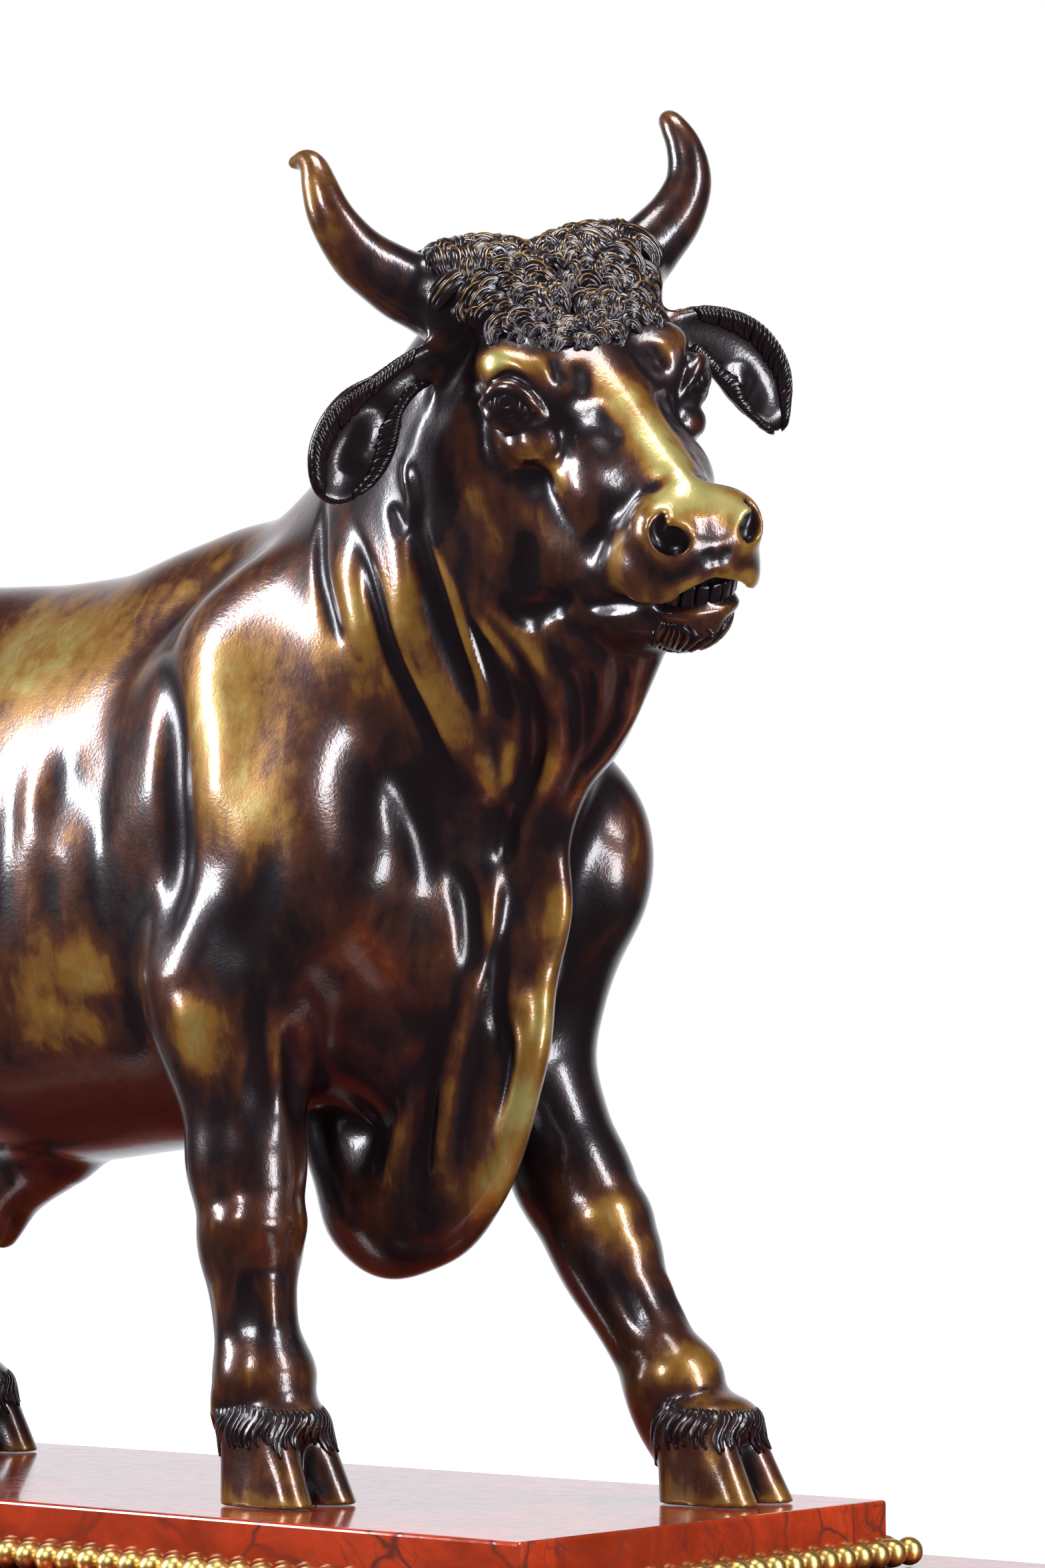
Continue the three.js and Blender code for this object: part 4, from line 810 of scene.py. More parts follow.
def finish_skin(mesh, c, name):
    """Gives a skin mesh its shading normals and wear, and returns its object."""
    points = vertices_of(mesh) / MM - (0, 0, GROUND)
    rub, hollow = wear(c, points)
    set_number(mesh, "rub", rub)
    set_number(mesh, "hollow", hollow)
    mesh.shade_smooth()
    mesh.normals_split_custom_set_from_vertices(c.slope(points, c.step * 0.8).tolist())
    obj = bpy.data.objects.new(name, mesh)
    bpy.context.scene.collection.objects.link(obj)
    return obj


def lock(c, run, half_width, height, ribs, around, sink=1.2, blunt=0.5):
    """One ribbed lock of hair lying on the skin along a run of points: its points, faces and ridges."""
    run = np.asarray(run, float)
    count = len(run)
    t = np.linspace(0, 1, count)
    up = c.slope(run, 3.0)
    ahead = np.gradient(run, axis=0)
    ahead = ahead / np.linalg.norm(ahead, axis=1, keepdims=True)
    out = np.cross(up, ahead)
    out = out / np.linalg.norm(out, axis=1, keepdims=True)
    # how full the lock is along its length, then its ribs across it
    full = np.clip(np.sin(np.pi * np.clip(t, 0.02, 0.98) ** 0.85), 0, 1) ** blunt
    across = np.linspace(-1, 1, around - 3)
    groove = 0.5 - 0.5 * np.cos(ribs * np.pi * (across + 1))
    points, crest = [], []
    for k in range(count):
        w, h = half_width * full[k], height * full[k]
        top = h * (np.sqrt(np.maximum(1 - across**2, 0)) - 0.4 * groove)
        ring = run[k] + out[k] * (w * across[:, None]) + up[k] * (top[:, None])
        under = [run[k] + out[k] * w * side - up[k] * sink for side in (0.7, 0, -0.7)]
        points.append(np.vstack([ring, under]))
        crest.append(np.concatenate([(1 - groove) * (1 - across**2) * full[k], np.zeros(3)]))
    return np.vstack(points), closed(count, around), np.concatenate(crest)


def gather(parts):
    """Joins lists of points, faces and, where they are given, ridges into one."""
    points, faces, crests, start = [], [], [], 0
    for p, f, *crest in parts:
        points.append(p)
        faces.extend(tuple(v + start for v in face) for face in f)
        crests.extend(crest)
        start += len(p)
    joined = (np.vstack(points), faces)
    return (*joined, np.concatenate(crests)) if crests else joined


def forelock(c, strand):
    """Locks that arch and curl over the brow and between the horns' roots."""
    draw = np.random.default_rng(4)
    parts = []
    for row in range(15):
        for s in SIDES:
            for i in range(8):
                bend, tilt, size, shift, stray = draw.normal(size=5)
                # the lock's middle, forward and out, and how near it is to the forelock's front edge
                middle_ahead = -19 + 4.0 * row + 1.0 * shift
                middle_out = 2.4 + 4.8 * i + (2.4 if row % 2 else 0) + 1.0 * stray
                front = min(1.0, max(0.0, (middle_ahead + 0.4 * middle_out - 22) / 18))
                if middle_ahead > 42 - 0.45 * middle_out or middle_out > 34 - 0.3 * max(0, middle_ahead - 12):
                    continue
                way = 1 if draw.random() < 0.5 else -1
                turns = 1.0 if draw.random() < 0.65 else 1.6
                t = np.linspace(0, 1, 18)
                heading = (1.3 + 0.35 * bend) * np.cos(np.pi * turns * t) + 0.55 * tilt
                length = (16.5 + 2.4 * size) * (1 - 0.35 * front)
                broad = strand * (2.0 + 0.25 * size) * (1 - 0.3 * front)
                ahead = np.cumsum(-np.sin(heading)) * length / len(t)
                out = np.cumsum(np.cos(heading)) * length / len(t) * way
                ahead, out = ahead - ahead.mean() + middle_ahead, out - out.mean() + middle_out
                up = 18 - 0.010 * out * out - 0.22 * np.maximum(ahead, 0)
                run = c.snap(from_head(np.stack([ahead, out * s, up], 1)), 7)
                lift = ((-1.4 + 3.0 * np.sin(np.pi * t) + 0.9 * draw.random()) * (1 - 0.6 * front))[:, None]
                thick = strand * (1.3 - 0.5 * front)
                run = run + c.slope(run, 3.0) * lift
                parts.append(lock(c, run, broad, thick, ribs=4, around=20, sink=2.4, blunt=0.6))
    return gather(parts)


# Locks around one hoof.
CORONET_LOCKS = 40


def coronets(c, strand):
    """Bands of short wavy locks that hang over the top of each hoof."""
    draw = np.random.default_rng(8)
    parts = []
    for x, y, turn in HOOVES:
        at = hoof_place(x, y, turn)
        for i in range(CORONET_LOCKS):
            angle = 2 * math.pi * (i + 0.5 * draw.random()) / CORONET_LOCKS
            sway, drop = draw.normal(size=2)
            t = np.linspace(0, 1, 9)
            around = angle + (0.09 * np.sin(2 * np.pi * t) + 0.05 * sway * t)
            reach = 15 + (4.5 * math.cos(angle)) * t + 1.5 * t
            z = 33 - (14 + 1.2 * drop) * t
            run = np.array([at(r * math.cos(a) - 4, r * math.sin(a), h) for a, r, h in zip(around, reach, z)])
            run = c.snap(run, 4)
            run = run + c.slope(run, 3.0) * (-0.2 + 0.6 * t)[:, None]
            parts.append(lock(c, run, strand * 0.95, strand * 0.42, ribs=2, around=11))
    return gather(parts)


def ear_hair(c, strand):
    """Short locks that edge the ears."""
    draw = np.random.default_rng(2)
    parts = []
    face = HEAD[1] @ np.array(EAR_FACE) / np.linalg.norm(EAR_FACE)
    for s in SIDES:
        run = smooth_run(mirrored(EARS[s], s), 9)
        centre = from_head(run[:, :3])
        along = np.gradient(centre, axis=0)
        along /= np.linalg.norm(along, axis=1, keepdims=True)
        edge = np.cross(face, along)
        upper = np.sign((edge @ HEAD[1])[:, 2].mean())
        for i in range(12, len(run) - 6):
            for side, share in ((upper, 0.66), (-upper, 0.34)):
                way = edge[i] * side
                start = centre[i] + way * run[i, 3] * 0.99 + face * 1.5
                tip = along[i] * (6.5 + draw.normal())
                end = centre[i] + way * run[i, 3] * (1 - share) + tip + face * 1.5
                t = np.linspace(0, 1, 8)[:, None]
                wave = along[i] * 0.7 * np.sin(2 * np.pi * t)
                hair = c.snap(start + (end - start) * t + wave, 3)
                hair = hair + c.slope(hair, 2.0) * 0.3
                parts.append(lock(c, hair, strand * 0.8, strand * 0.6, ribs=2, around=9))
    return gather(parts)


def chin_tuft(c, strand):
    """The small beard under the lower lip."""
    draw = np.random.default_rng(6)
    parts = []
    for i in range(15):
        for ahead, up in ((117, -49), (114, -53.5)):
            sway = draw.normal()
            t = np.linspace(0, 1, 9)
            out = (i - 7) * 1.5 + 0.9 * np.sin(2 * np.pi * t) + 0.5 * sway * t
            run = c.snap(from_head(np.stack([ahead - 4 * t + 3 * t * t, out, up - 8.5 * t], 1)), 4)
            run = run + c.slope(run, 3.0) * (0.1 + 1.0 * t**2)[:, None]
            parts.append(lock(c, run, strand * 0.7, strand * 0.55, ribs=2, around=10))
    return gather(parts)


def eyeball(side, radius):
    """An eye with rings cut around the pupil: its points and faces."""
    centre = np.array([EYE[0], EYE[1] * side, EYE[2]])
    look = np.array([0.66, 0.62 * side, 0.42])
    look /= np.linalg.norm(look)
    a = np.cross(look, (0, 0, 1))
    a /= np.linalg.norm(a)
    b = np.cross(look, a)
    rings, around = 48, 56
    points = []
    for i in range(rings + 1):
        angle = math.pi * (i / rings) ** 1.5
        arc = math.degrees(angle)
        # two rings, at 34 and 20 degrees from the middle, and the pupil
        r = radius - 0.4 * math.exp(-((arc - 34) / 2.8) ** 2) - 0.2 * math.exp(-((arc - 20) / 2.4) ** 2)
        r -= 1.2 * math.exp(-(arc / 8) ** 2)
        for j in range(around):
            turn = 2 * math.pi * j / around
            way = math.cos(angle) * look + math.sin(angle) * (math.cos(turn) * a + math.sin(turn) * b)
            points.append(centre + r * way)
    return from_head(points), wrapped(rings + 1, around)


def rounded_block(low, high, edge):
    """A box whose edges are rounded: its points and faces."""
    low, high = np.asarray(low, float), np.asarray(high, float)
    bend = np.linspace(0, math.pi / 2, 4)
    levels = [(low[2] + edge * (1 - math.cos(a)), edge * (1 - math.sin(a))) for a in bend]
    levels += [(high[2] - edge * (1 - math.sin(a)), edge * (1 - math.cos(a))) for a in bend]
    corner = edge * 1.02
    points = []
    for z, inset in levels:
        r = corner - inset
        for k, (sx, sy) in enumerate(((1, 1), (-1, 1), (-1, -1), (1, -1))):
            for a in bend + k * math.pi / 2:
                x = (high[0] - corner if sx > 0 else low[0] + corner) + r * math.cos(a)
                y = (high[1] - corner if sy > 0 else low[1] + corner) + r * math.sin(a)
                points.append((x, y, z))
    return np.array(points), closed(len(levels), 4 * len(bend))


# The lower front teeth stand on an arc around a point between the jaws.
TEETH, TOOTH_ANGLE, TEETH_RADIUS = 8, 15.5, 15.8
TEETH_MIDDLE = (105.5, -39.5)


def teeth():
    """The lower front teeth: small worn blocks on an arc."""
    parts = []
    for i in range(TEETH):
        angle = math.radians((i - (TEETH - 1) / 2) * TOOTH_ANGLE)
        cos, sin = math.cos(angle), math.sin(angle)
        points, faces = rounded_block((-1.8, -2.0, -4.5), (1.8, 2.0, 3.6), 0.8)
        points = points @ np.array([[cos, -sin, 0], [sin, cos, 0], [0, 0, 1]]).T
        points = points + (TEETH_MIDDLE[0] + TEETH_RADIUS * cos, TEETH_RADIUS * sin, TEETH_MIDDLE[1])
        parts.append((from_head(points), faces))
    return gather(parts)


def circle(middle, side, radius, count):
    """Points around a middle, in the plane of a level direction and the vertical."""
    turns = [2 * math.pi * j / count for j in range(count)]
    return [middle + side * radius * math.cos(t) + np.array([0, 0, radius * math.sin(t)]) for t in turns]


def bead_string(low, high, radius, along, across):
    """Beads on a thin cord around a rectangle that is given at its corners: points and faces."""
    corners = [(high[0], low[1]), (high[0], high[1]), (low[0], high[1]), (low[0], low[1])]
    z = (low[2] + high[2]) / 2
    around, rings, cord_around = 20, 12, 8
    parts = []
    for k in range(4):
        a, b = np.array([*corners[k], z]), np.array([*corners[(k + 1) % 4], z])
        count = across if k % 2 == 0 else along
        ahead = (b - a) / np.linalg.norm(b - a)
        side = np.cross(ahead, (0, 0, 1))
        for i in range(count):
            middle = a + (b - a) * i / count
            points = []
            for ring in range(rings + 1):
                angle = math.pi * ring / rings
                r = radius * math.sin(angle) if 0 < ring < rings else 0.02
                points += circle(middle + ahead * (-radius * math.cos(angle)), side, r, around)
            parts.append((np.array(points), wrapped(rings + 1, around)))
            if i < count - 1:
                end = a + (b - a) * (i + 1) / count
                points = [p for at in (middle, end) for p in circle(at, side, radius * 0.3, cord_around)]
                parts.append((np.array(points), wrapped(2, cord_around)))
    return gather(parts)


def add_node(tree, kind, inputs=None, **settings):
    """A new node with its settings made and its inputs fed."""
    node = tree.nodes.new("ShaderNode" + kind)
    for key, value in settings.items():
        setattr(node, key, value)
    feed(tree, node, inputs or {})
    return node


def feed(tree, node, inputs):
    """Links a node's inputs to sockets, or sets them to values."""
    for key, value in inputs.items():
        if isinstance(value, bpy.types.NodeSocket):
            tree.links.new(value, node.inputs[key])
        else:
            node.inputs[key].default_value = value


class Paint:
    """A material's node tree, laid in short steps."""

    def __init__(self, name):
        self.material = bpy.data.materials.new(name)
        self.material.use_nodes = True
        self.tree = self.material.node_tree
        self.tree.nodes.clear()
        self.skin = self.add("BsdfPrincipled")
        self.add("OutputMaterial", {"Surface": self.skin.outputs[0]})
        self.here = self.add("TexCoord").outputs["Object"]

    def add(self, kind, inputs=None, **settings):
        return add_node(self.tree, kind, inputs, **settings)

    def finish(self, inputs):
        """Feeds the skin, and returns the material."""
        feed(self.tree, self.skin, inputs)
        return self.material

    def number(self, name):
        """A number that the mesh keeps for each of its points."""
        return self.add("Attribute", attribute_name=name).outputs["Fac"]

    def math(self, operation, *values):
        return self.add("Math", dict(enumerate(values)), operation=operation).outputs[0]

    def vary(self, value, pattern, amount):
        """The value moved up and down by a pattern around its middle."""
        return self.math("ADD", value, self.math("MULTIPLY", self.math("SUBTRACT", pattern, 0.5), amount))

    def stretched(self, scale, rotation=(0, 0, 0), location=(0, 0, 0)):
        """The object's own coordinates, scaled, turned and shifted."""
        inputs = {"Vector": self.here, "Location": location, "Rotation": rotation, "Scale": scale}
        return self.add("Mapping", inputs).outputs[0]

    def noise(self, scale, detail=3.0, roughness=0.5, distortion=0.0, at=None):
        """An uneven pattern."""
        inputs = {"Vector": at or self.here, "Scale": scale, "Detail": detail, "Roughness": roughness,
                  "Distortion": distortion}
        return self.add("TexNoise", inputs).outputs["Fac"]

    def edges(self, scale, at):
        """Distances to the edges of a field of cells."""
        inputs = {"Vector": at, "Scale": scale, "Randomness": 1.0}
        return self.add("TexVoronoi", inputs, feature="DISTANCE_TO_EDGE").outputs["Distance"]

    def ramp(self, value, low, high, to=(0.0, 1.0)):
        """A value that goes softly from one range to another."""
        inputs = {"Value": value, "From Min": low, "From Max": high, "To Min": to[0], "To Max": to[1]}
        return self.add("MapRange", inputs, interpolation_type="SMOOTHSTEP").outputs[0]

    def mix(self, share, a, b):
        """A colour between two."""
        node = self.add("Mix", data_type="RGBA")
        places = {socket.identifier: k for k, socket in enumerate(node.inputs)}
        rows = (("Factor_Float", share), ("A_Color", a), ("B_Color", b))
        feed(self.tree, node, {places[name]: value for name, value in rows})
        return next(socket for socket in node.outputs if socket.identifier == "Result_Color")

    def bump(self, height, distance, strength=1.0, under=None):
        """Fine relief, laid over the relief under it."""
        inputs = {"Height": height, "Distance": distance, "Strength": strength}
        if under is not None:
            inputs["Normal"] = under
        return self.add("Bump", inputs).outputs[0]


def opaque(colour, share=1.0):
    """A colour, or a share of it, with nothing see-through."""
    return (*(min(1, v * share) for v in colour), 1.0)


def bronze(colours, name):
    """Glossy dark patina over bronze, rubbed to the metal on high points."""
    p = Paint(name)
    rub, hollow = p.number("rub"), p.number("hollow")
    broad = p.noise(7, 3, 0.5, 0.3)
    patch = p.noise(24, 3, 0.55, 0.4)
    fine = p.noise(210, 4, 0.65)
    speck = p.noise(900, 2, 0.6)
    streak = p.noise(75, 4, 0.65, 0.5, p.stretched((1.6, 1.6, 0.5), (0.3, 0.2, 0.5)))
    scratch = p.noise(160, 2, 0.5, 0.0, p.stretched((1, 14, 3), (0.5, 0.9, 0.3)))
    worn = rub
    for pattern, amount in ((patch, 0.75), (broad, 1.1), (streak, 0.6), (fine, 0.2)):
        worn = p.vary(worn, pattern, amount)
    worn = p.math("SUBTRACT", worn, p.math("MULTIPLY", hollow, 0.8))
    thin_patina = p.mix(p.ramp(worn, -0.05, 0.4), opaque(colours.lacquer), opaque(colours.oxblood))
    fringe = p.mix(p.ramp(worn, 0.25, 0.55), thin_patina, opaque(colours.amber))
    colour = p.mix(p.ramp(worn, 0.5, 0.85), fringe, opaque(colours.rubbed))
    tooled = p.math("ADD", p.math("MULTIPLY", fine, 0.7), p.math("MULTIPLY", scratch, 0.2))
    surface = p.bump(speck, 0.00012, 0.4, p.bump(tooled, 0.0003, 0.3))
    return p.finish({
        "Base Color": colour, "Metallic": p.ramp(worn, 0.3, 0.9, (0.5, 0.6)), "IOR": 1.5, "Normal": surface,
        "Roughness": p.vary(p.ramp(worn, 0.2, 0.8, (0.3, 0.4)), fine, 0.16),
        "Coat Weight": p.ramp(hollow, 0.3, 1.0, (0.9, 0.3)), "Coat Roughness": 0.11, "Coat IOR": 1.45,
        "Coat Normal": surface,
    })


def marble(colours, name, shift):
    """Polished red marble with dark threads of vein."""
    p = Paint(name)
    at = p.stretched((1, 1.6, 1.6), location=shift)
    bend = p.add("TexNoise", {"Vector": at, "Scale": 11.0, "Detail": 4.0, "Roughness": 0.6}).outputs["Color"]
    bend = p.add("VectorMath", {0: bend, 1: (0.06, 0.06, 0.06)}, operation="MULTIPLY").outputs[0]
    bent = p.add("VectorMath", {0: at, 1: bend}, operation="ADD").outputs[0]
    cloud = p.noise(16, 5, 0.62, 0.6, bent)
    grain = p.noise(150, 4, 0.6, 0.0, bent)
    patches = p.ramp(p.noise(14, 2, 0.5, 0.0, at), 0.42, 0.62)
    vein = p.math("MULTIPLY", p.ramp(p.edges(26.0, bent), 0.055, 0.0), p.ramp(cloud, 0.35, 0.6))
    thread = p.math("MULTIPLY", p.ramp(p.edges(75.0, bent), 0.05, 0.0), patches)
    dark = p.math("MAXIMUM", p.math("MULTIPLY", vein, 0.85), p.math("MULTIPLY", thread, 0.55))
    base = colours.marble
    ground = p.mix(p.ramp(cloud, 0.3, 0.72), opaque(base, 0.62), opaque(base, 1.35))
    ground = p.mix(p.ramp(grain, 0.35, 0.75, (0.0, 0.35)), ground, opaque(base, 0.5))
    return p.finish({
        "Base Color": p.mix(dark, ground, opaque(colours.vein)), "IOR": 1.48,
        "Roughness": p.ramp(grain, 0.3, 0.8, (0.1, 0.2)),
        "Normal": p.bump(p.math("SUBTRACT", 0.0, dark), 0.00015, 0.3),
        "Coat Weight": 0.45, "Coat Roughness": 0.04,
    })


def gilding(colours, name):
    """Bright gilding with worn patches, and painted shade that darkens the lower half of each bead."""
    p = Paint(name)
    patch, fine = p.noise(90, 3, 0.6), p.noise(600, 3, 0.6)
    # painted shade: the beads' "hollow" number darkens the lower half of each bead; worn mixes it with random
    # worn patches
    painted_shade = p.math("MULTIPLY", p.number("hollow"), 0.45)
    worn = p.ramp(p.math("ADD", patch, painted_shade), 0.55, 0.85)
    red, green, blue = colours.gilt
    return p.finish({
        "Base Color": p.mix(worn, opaque(colours.gilt), opaque((red * 0.2, green * 0.16, blue * 0.14))),
        "Metallic": 1.0, "Roughness": p.ramp(worn, 0, 1, (0.34, 0.55)), "Normal": p.bump(fine, 0.0002, 0.35),
    })


def plain(name, colour, roughness):
    """A material of one colour."""
    return Paint(name).finish({"Base Color": opaque(colour), "Roughness": roughness})


# The clay and the bronze, made with the figure and used for its details.
MADE = {}


def settings():
    """The sizes and colours that are set in the panel."""
    scene = bpy.context.scene
    return scene.bull_figure, scene.bull_bronze, scene.bull_plinth


def clay():
    """The shaped figure."""
    if "clay" not in MADE:
        raise RuntimeError("the figure is shaped before its details")
    return MADE["clay"]


def add_detail(name, made):
    """A smooth bronze detail of the figure, with its wear."""
    points, faces, *crest = made
    obj = mesh_object(name, points, faces)
    c = clay()
    depth = np.clip(c.sample(points), -1, 2.5)
    ridge = crest[0] if crest else np.zeros(len(points))
    rub, _ = wear(c, points)
    set_number(obj.data, "rub", np.clip(ridge**3 * (0.32 + 0.24 * depth) + 0.2 * rub, 0, 1.1))
    set_number(obj.data, "hollow", np.clip(0.9 - ridge * 0.5 - depth * 0.18, 0, 1))
    obj.data.materials.append(MADE["bronze"])
    dress(obj, "patinated_bronze")


# The skin is parted behind the ears by a plane in the head's frame, given by its share of forward and
# of up and its offset. The points within some steps of the grid from it are kept, so the parts meet.
PARTING = (0.5, 0.87, 84)
SEAM = 3


class BULL_OT_figure(bpy.types.Operator):
    """Shapes the bronze bull"""

    bl_idname = "bull.figure"
    bl_label = "Bronze figure"

    def execute(self, context):
        figure, finish, _ = settings()
        c = sculpt(millimetres(figure.grain) * (1))
        MADE["clay"] = c
        MADE["bronze"] = bronze(finish, "patinated bronze")
        points, quads = skin(c)
        local = (points - HEAD[0]) @ HEAD[1]
        ahead = local[:, 0] * PARTING[0] + local[:, 2] * PARTING[1] + PARTING[2]
        front = ahead[quads].mean(1) > 0
        for name, part in (("bull_body", quads[~front]), ("bull_head", quads[front])):
            used, place = np.unique(part, return_inverse=True)
            mesh = fast_mesh(name, to_metres(points[used]), place.reshape(part.shape))
            mesh = thin(mesh, figure.triangles, np.abs(ahead[used]) < SEAM * c.step)
            obj = finish_skin(mesh, c, name)
            obj.data.materials.append(MADE["bronze"])
            dress(obj, "patinated_bronze", "bull")
        return {"FINISHED"}


class BULL_OT_hair(bpy.types.Operator):
    """Adds the forelock, the tufts and the hair over the hooves"""

    bl_idname = "bull.hair"
    bl_label = "Hair"

    def execute(self, context):
        strand = millimetres(settings()[0].strand)
        add_detail("forelock", forelock(clay(), strand))
        add_detail("hoof_hair", coronets(clay(), strand))
        add_detail("ear_hair", ear_hair(clay(), strand))
        add_detail("chin_tuft", chin_tuft(clay(), strand))
        return {"FINISHED"}


class BULL_OT_eyes(bpy.types.Operator):
    """Adds the eyes and the teeth"""

    bl_idname = "bull.eyes"
    bl_label = "Eyes and teeth"

    def execute(self, context):
        radius = millimetres(settings()[0].eye_radius)
        add_detail("right_eye", eyeball(RIGHT, radius))
        add_detail("left_eye", eyeball(LEFT, radius))
        add_detail("teeth", teeth())
        return {"FINISHED"}


# Each slab: its node, slot, rounding of the edges, and where its marble is cut from the block.
SLABS = (
    ("upper_slab", "red_marble", 1.2, (0.3, 0.1, 0.0)),
    ("lower_slab", "red_marble_base", 1.5, (1.7, 0.6, 0.4)),
)


class BULL_OT_plinth(bpy.types.Operator):
    """Builds the two marble slabs"""

    bl_idname = "bull.plinth"
    bl_label = "Marble slabs"

    def execute(self, context):
        finish = settings()[2]
        for node, slot, edge, shift in SLABS:
            obj = mesh_object(node + "_marble", *rounded_block(*box_of(node), edge), smooth=False)
            obj.data.materials.append(marble(finish, node + " marble", shift))
            dress(obj, slot, node)
        return {"FINISHED"}


# Beads along a long and along a short side, how far out of the upper slab their middles are strung,
# and the share of the radius that they are made with, so that neighbours just clear each other.
BEADS_ALONG, BEADS_ACROSS = 53, 21
BEADS_OUT = 5
BEAD_FIT = 0.955


class BULL_OT_beads(bpy.types.Operator):
    """Strings the gilt beads around the upper slab"""

    bl_idname = "bull.beads"
    bl_label = "Bead moulding"

    def execute(self, context):
        finish = settings()[2]
        radius = millimetres(finish.bead_radius)
        low, high = box_of("bead_moulding")
        slab_low, slab_high = box_of("upper_slab")
        low[:2], high[:2] = slab_low[:2] - BEADS_OUT, slab_high[:2] + BEADS_OUT
        points, faces = bead_string(low, high, radius * BEAD_FIT, BEADS_ALONG, BEADS_ACROSS)
        obj = mesh_object("bead_string", points, faces)
        # painted shade: the "hollow" number darkens the lower half of each bead
        z = (points[:, 2] - (low[2] + high[2]) / 2) / radius
        set_number(obj.data, "hollow", np.clip(0.15 - z, 0, 1))
        obj.data.materials.append(gilding(finish, "gilding"))
        dress(obj, "gilt_bronze", "bead_moulding")
        return {"FINISHED"}


# Where the lamps point, and each one's name, place, size, power and colour.
AIM = (0.05, 0.0, 0.28)
COOL, COOLER, WHITE = (0.92, 0.95, 1.0), (0.9, 0.94, 1.0), (1, 1, 1)
LAMPS = (
    ("side", (-1.1, -1.1, 0.95), (0.45, 1.2), 44, COOLER),
    ("front", (0.5, -1.6, 1.15), (0.35, 0.6), 18, COOL),
    ("right", (1.55, 0.2, 1.05), (0.3, 0.9), 20, COOL),
    ("top", (0.3, -0.2, 1.8), (0.7, 0.5), 16, WHITE),
    ("card", (1.15, 0.05, 0.14), (0.25, 0.3), 5, COOL),
)
# A broad light from straight above, and how wide it looks in degrees.
SUN_POWER, SUN_ANGLE = 3.5, 70
# The way to the light part of the surroundings, which the camera looks at.
BACKDROP = (-0.64, 0.766, 0)
# Half the floor's width in metres, and its colour.
FLOOR, FLOOR_COLOUR = 14, (0.93, 0.93, 0.94)
# The camera's place in metres, its turn in degrees, and its lens and film in millimetres.
CAMERA_PLACE, CAMERA_TURN = (1.0095, -0.998, 0.1606), (95.412, 0, 40.03)
CAMERA_LENS, CAMERA_FILM = 90.3, 36


def add_lamp(name, place, size, power, colour):
    """A lamp with a lit rectangle, pointed at the bull."""
    data = bpy.data.lights.new(name, "AREA")
    data.shape = "RECTANGLE"
    data.size, data.size_y = size
    data.energy = power
    data.color = colour
    obj = bpy.data.objects.new(name, data)
    obj.location = place
    obj.rotation_euler = (Vector(AIM) - Vector(place)).to_track_quat("-Z", "Y").to_euler()
    bpy.context.scene.collection.objects.link(obj)


def add_floor():
    """A light floor that stays out of the reflections."""
    mesh = bpy.data.meshes.new("floor")
    corners = [(-FLOOR, -FLOOR, 0), (FLOOR, -FLOOR, 0), (FLOOR, FLOOR, 0), (-FLOOR, FLOOR, 0)]
    mesh.from_pydata(corners, [], [(0, 1, 2, 3)])
    floor = bpy.data.objects.new("floor", mesh)
    bpy.context.scene.collection.objects.link(floor)
    mesh.materials.append(plain("floor", FLOOR_COLOUR, 0.6))
    floor.visible_glossy = False


def surroundings():
    """White where the camera sees them, and otherwise dark but for a glow behind the bull."""
    world = bpy.data.worlds.new("studio")
    world.use_nodes = True
    tree = world.node_tree
    tree.nodes.clear()
    seen = add_node(tree, "Background", {"Color": (1, 1, 1, 1)})
    way = add_node(tree, "TexCoord").outputs["Generated"]
    behind = add_node(tree, "VectorMath", {0: way, 1: BACKDROP}, operation="DOT_PRODUCT")
    # the glow starts 57 degrees from the backdrop's middle, and is full within 16
    glow = add_node(tree, "MapRange", {
        "Value": behind.outputs["Value"], "From Min": 0.55, "From Max": 0.96, "To Min": 0.02, "To Max": 1.0,
    })
    lit = add_node(tree, "Background", {"Color": (0.95, 0.95, 1.0, 1), "Strength": glow.outputs[0]})
    camera_ray = add_node(tree, "LightPath").outputs["Is Camera Ray"]
    mix = add_node(tree, "MixShader", {0: camera_ray, 1: lit.outputs[0], 2: seen.outputs[0]})
    add_node(tree, "OutputWorld", {"Surface": mix.outputs[0]})
    return world


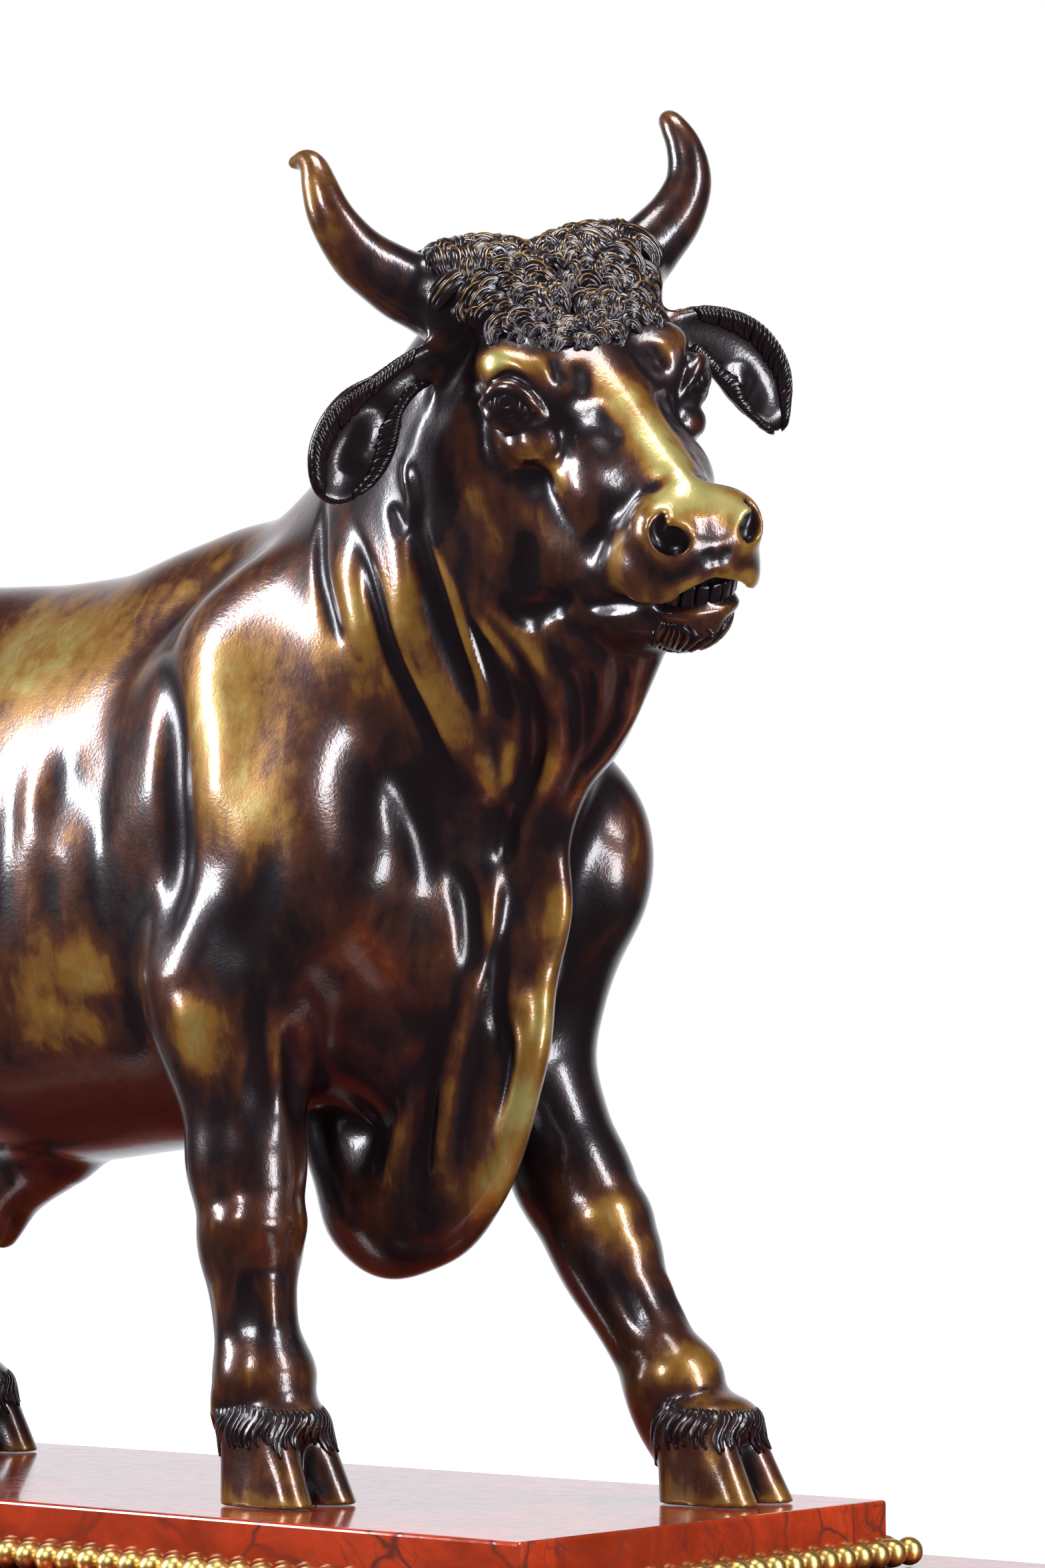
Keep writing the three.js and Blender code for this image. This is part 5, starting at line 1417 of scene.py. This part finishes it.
class BULL_OT_stage(bpy.types.Operator):
    """Sets the floor, the lights and the camera"""

    bl_idname = "bull.stage"
    bl_label = "Stage"

    def execute(self, context):
        scene = bpy.context.scene
        add_floor()
        scene.world = surroundings()
        for row in LAMPS:
            add_lamp(*row)
        sun = bpy.data.lights.new("sun", "SUN")
        sun.energy = SUN_POWER
        sun.angle = math.radians(SUN_ANGLE)
        sky = bpy.data.objects.new("sun", sun)
        sky.visible_glossy = False
        scene.collection.objects.link(sky)

        data = bpy.data.cameras.new("camera")
        data.sensor_width = CAMERA_FILM
        data.sensor_fit = "AUTO"
        data.lens = CAMERA_LENS
        data.clip_end = 100
        camera = bpy.data.objects.new("camera", data)
        camera.location = CAMERA_PLACE
        camera.rotation_euler = [math.radians(angle) for angle in CAMERA_TURN]
        scene.collection.objects.link(camera)
        scene.camera = camera
        scene.view_settings.view_transform = "Standard"
        return {"FINISHED"}


OPERATORS = (BULL_OT_figure, BULL_OT_hair, BULL_OT_eyes, BULL_OT_plinth, BULL_OT_beads, BULL_OT_stage)


class BULL_PT_panel(bpy.types.Panel):
    """Lists the pieces of the bull and its plinth"""

    bl_idname = "BULL_PT_panel"
    bl_label = "Bronze bull"
    bl_space_type = "VIEW_3D"
    bl_region_type = "UI"
    bl_category = "Bull"

    def draw(self, context):
        for group in settings():
            box = self.layout.box()
            for name in type(group).__annotations__:
                box.prop(group, name)
        for operator in OPERATORS:
            self.layout.operator(operator.bl_idname)


CLASSES = (BullFigure, BronzeFinish, PlinthFinish, *OPERATORS, BULL_PT_panel)


def register():
    for cls in CLASSES:
        bpy.utils.register_class(cls)
    bpy.types.Scene.bull_figure = PointerProperty(type=BullFigure)
    bpy.types.Scene.bull_bronze = PointerProperty(type=BronzeFinish)
    bpy.types.Scene.bull_plinth = PointerProperty(type=PlinthFinish)


def unregister():
    del bpy.types.Scene.bull_plinth
    del bpy.types.Scene.bull_bronze
    del bpy.types.Scene.bull_figure
    for cls in reversed(CLASSES):
        bpy.utils.unregister_class(cls)


def main():
    """Makes each piece and the stage in order."""
    register()
    bpy.ops.bull.figure()
    bpy.ops.bull.hair()
    bpy.ops.bull.eyes()
    bpy.ops.bull.plinth()
    bpy.ops.bull.beads()
    bpy.ops.bull.stage()


if __name__ == "__main__":
    main()
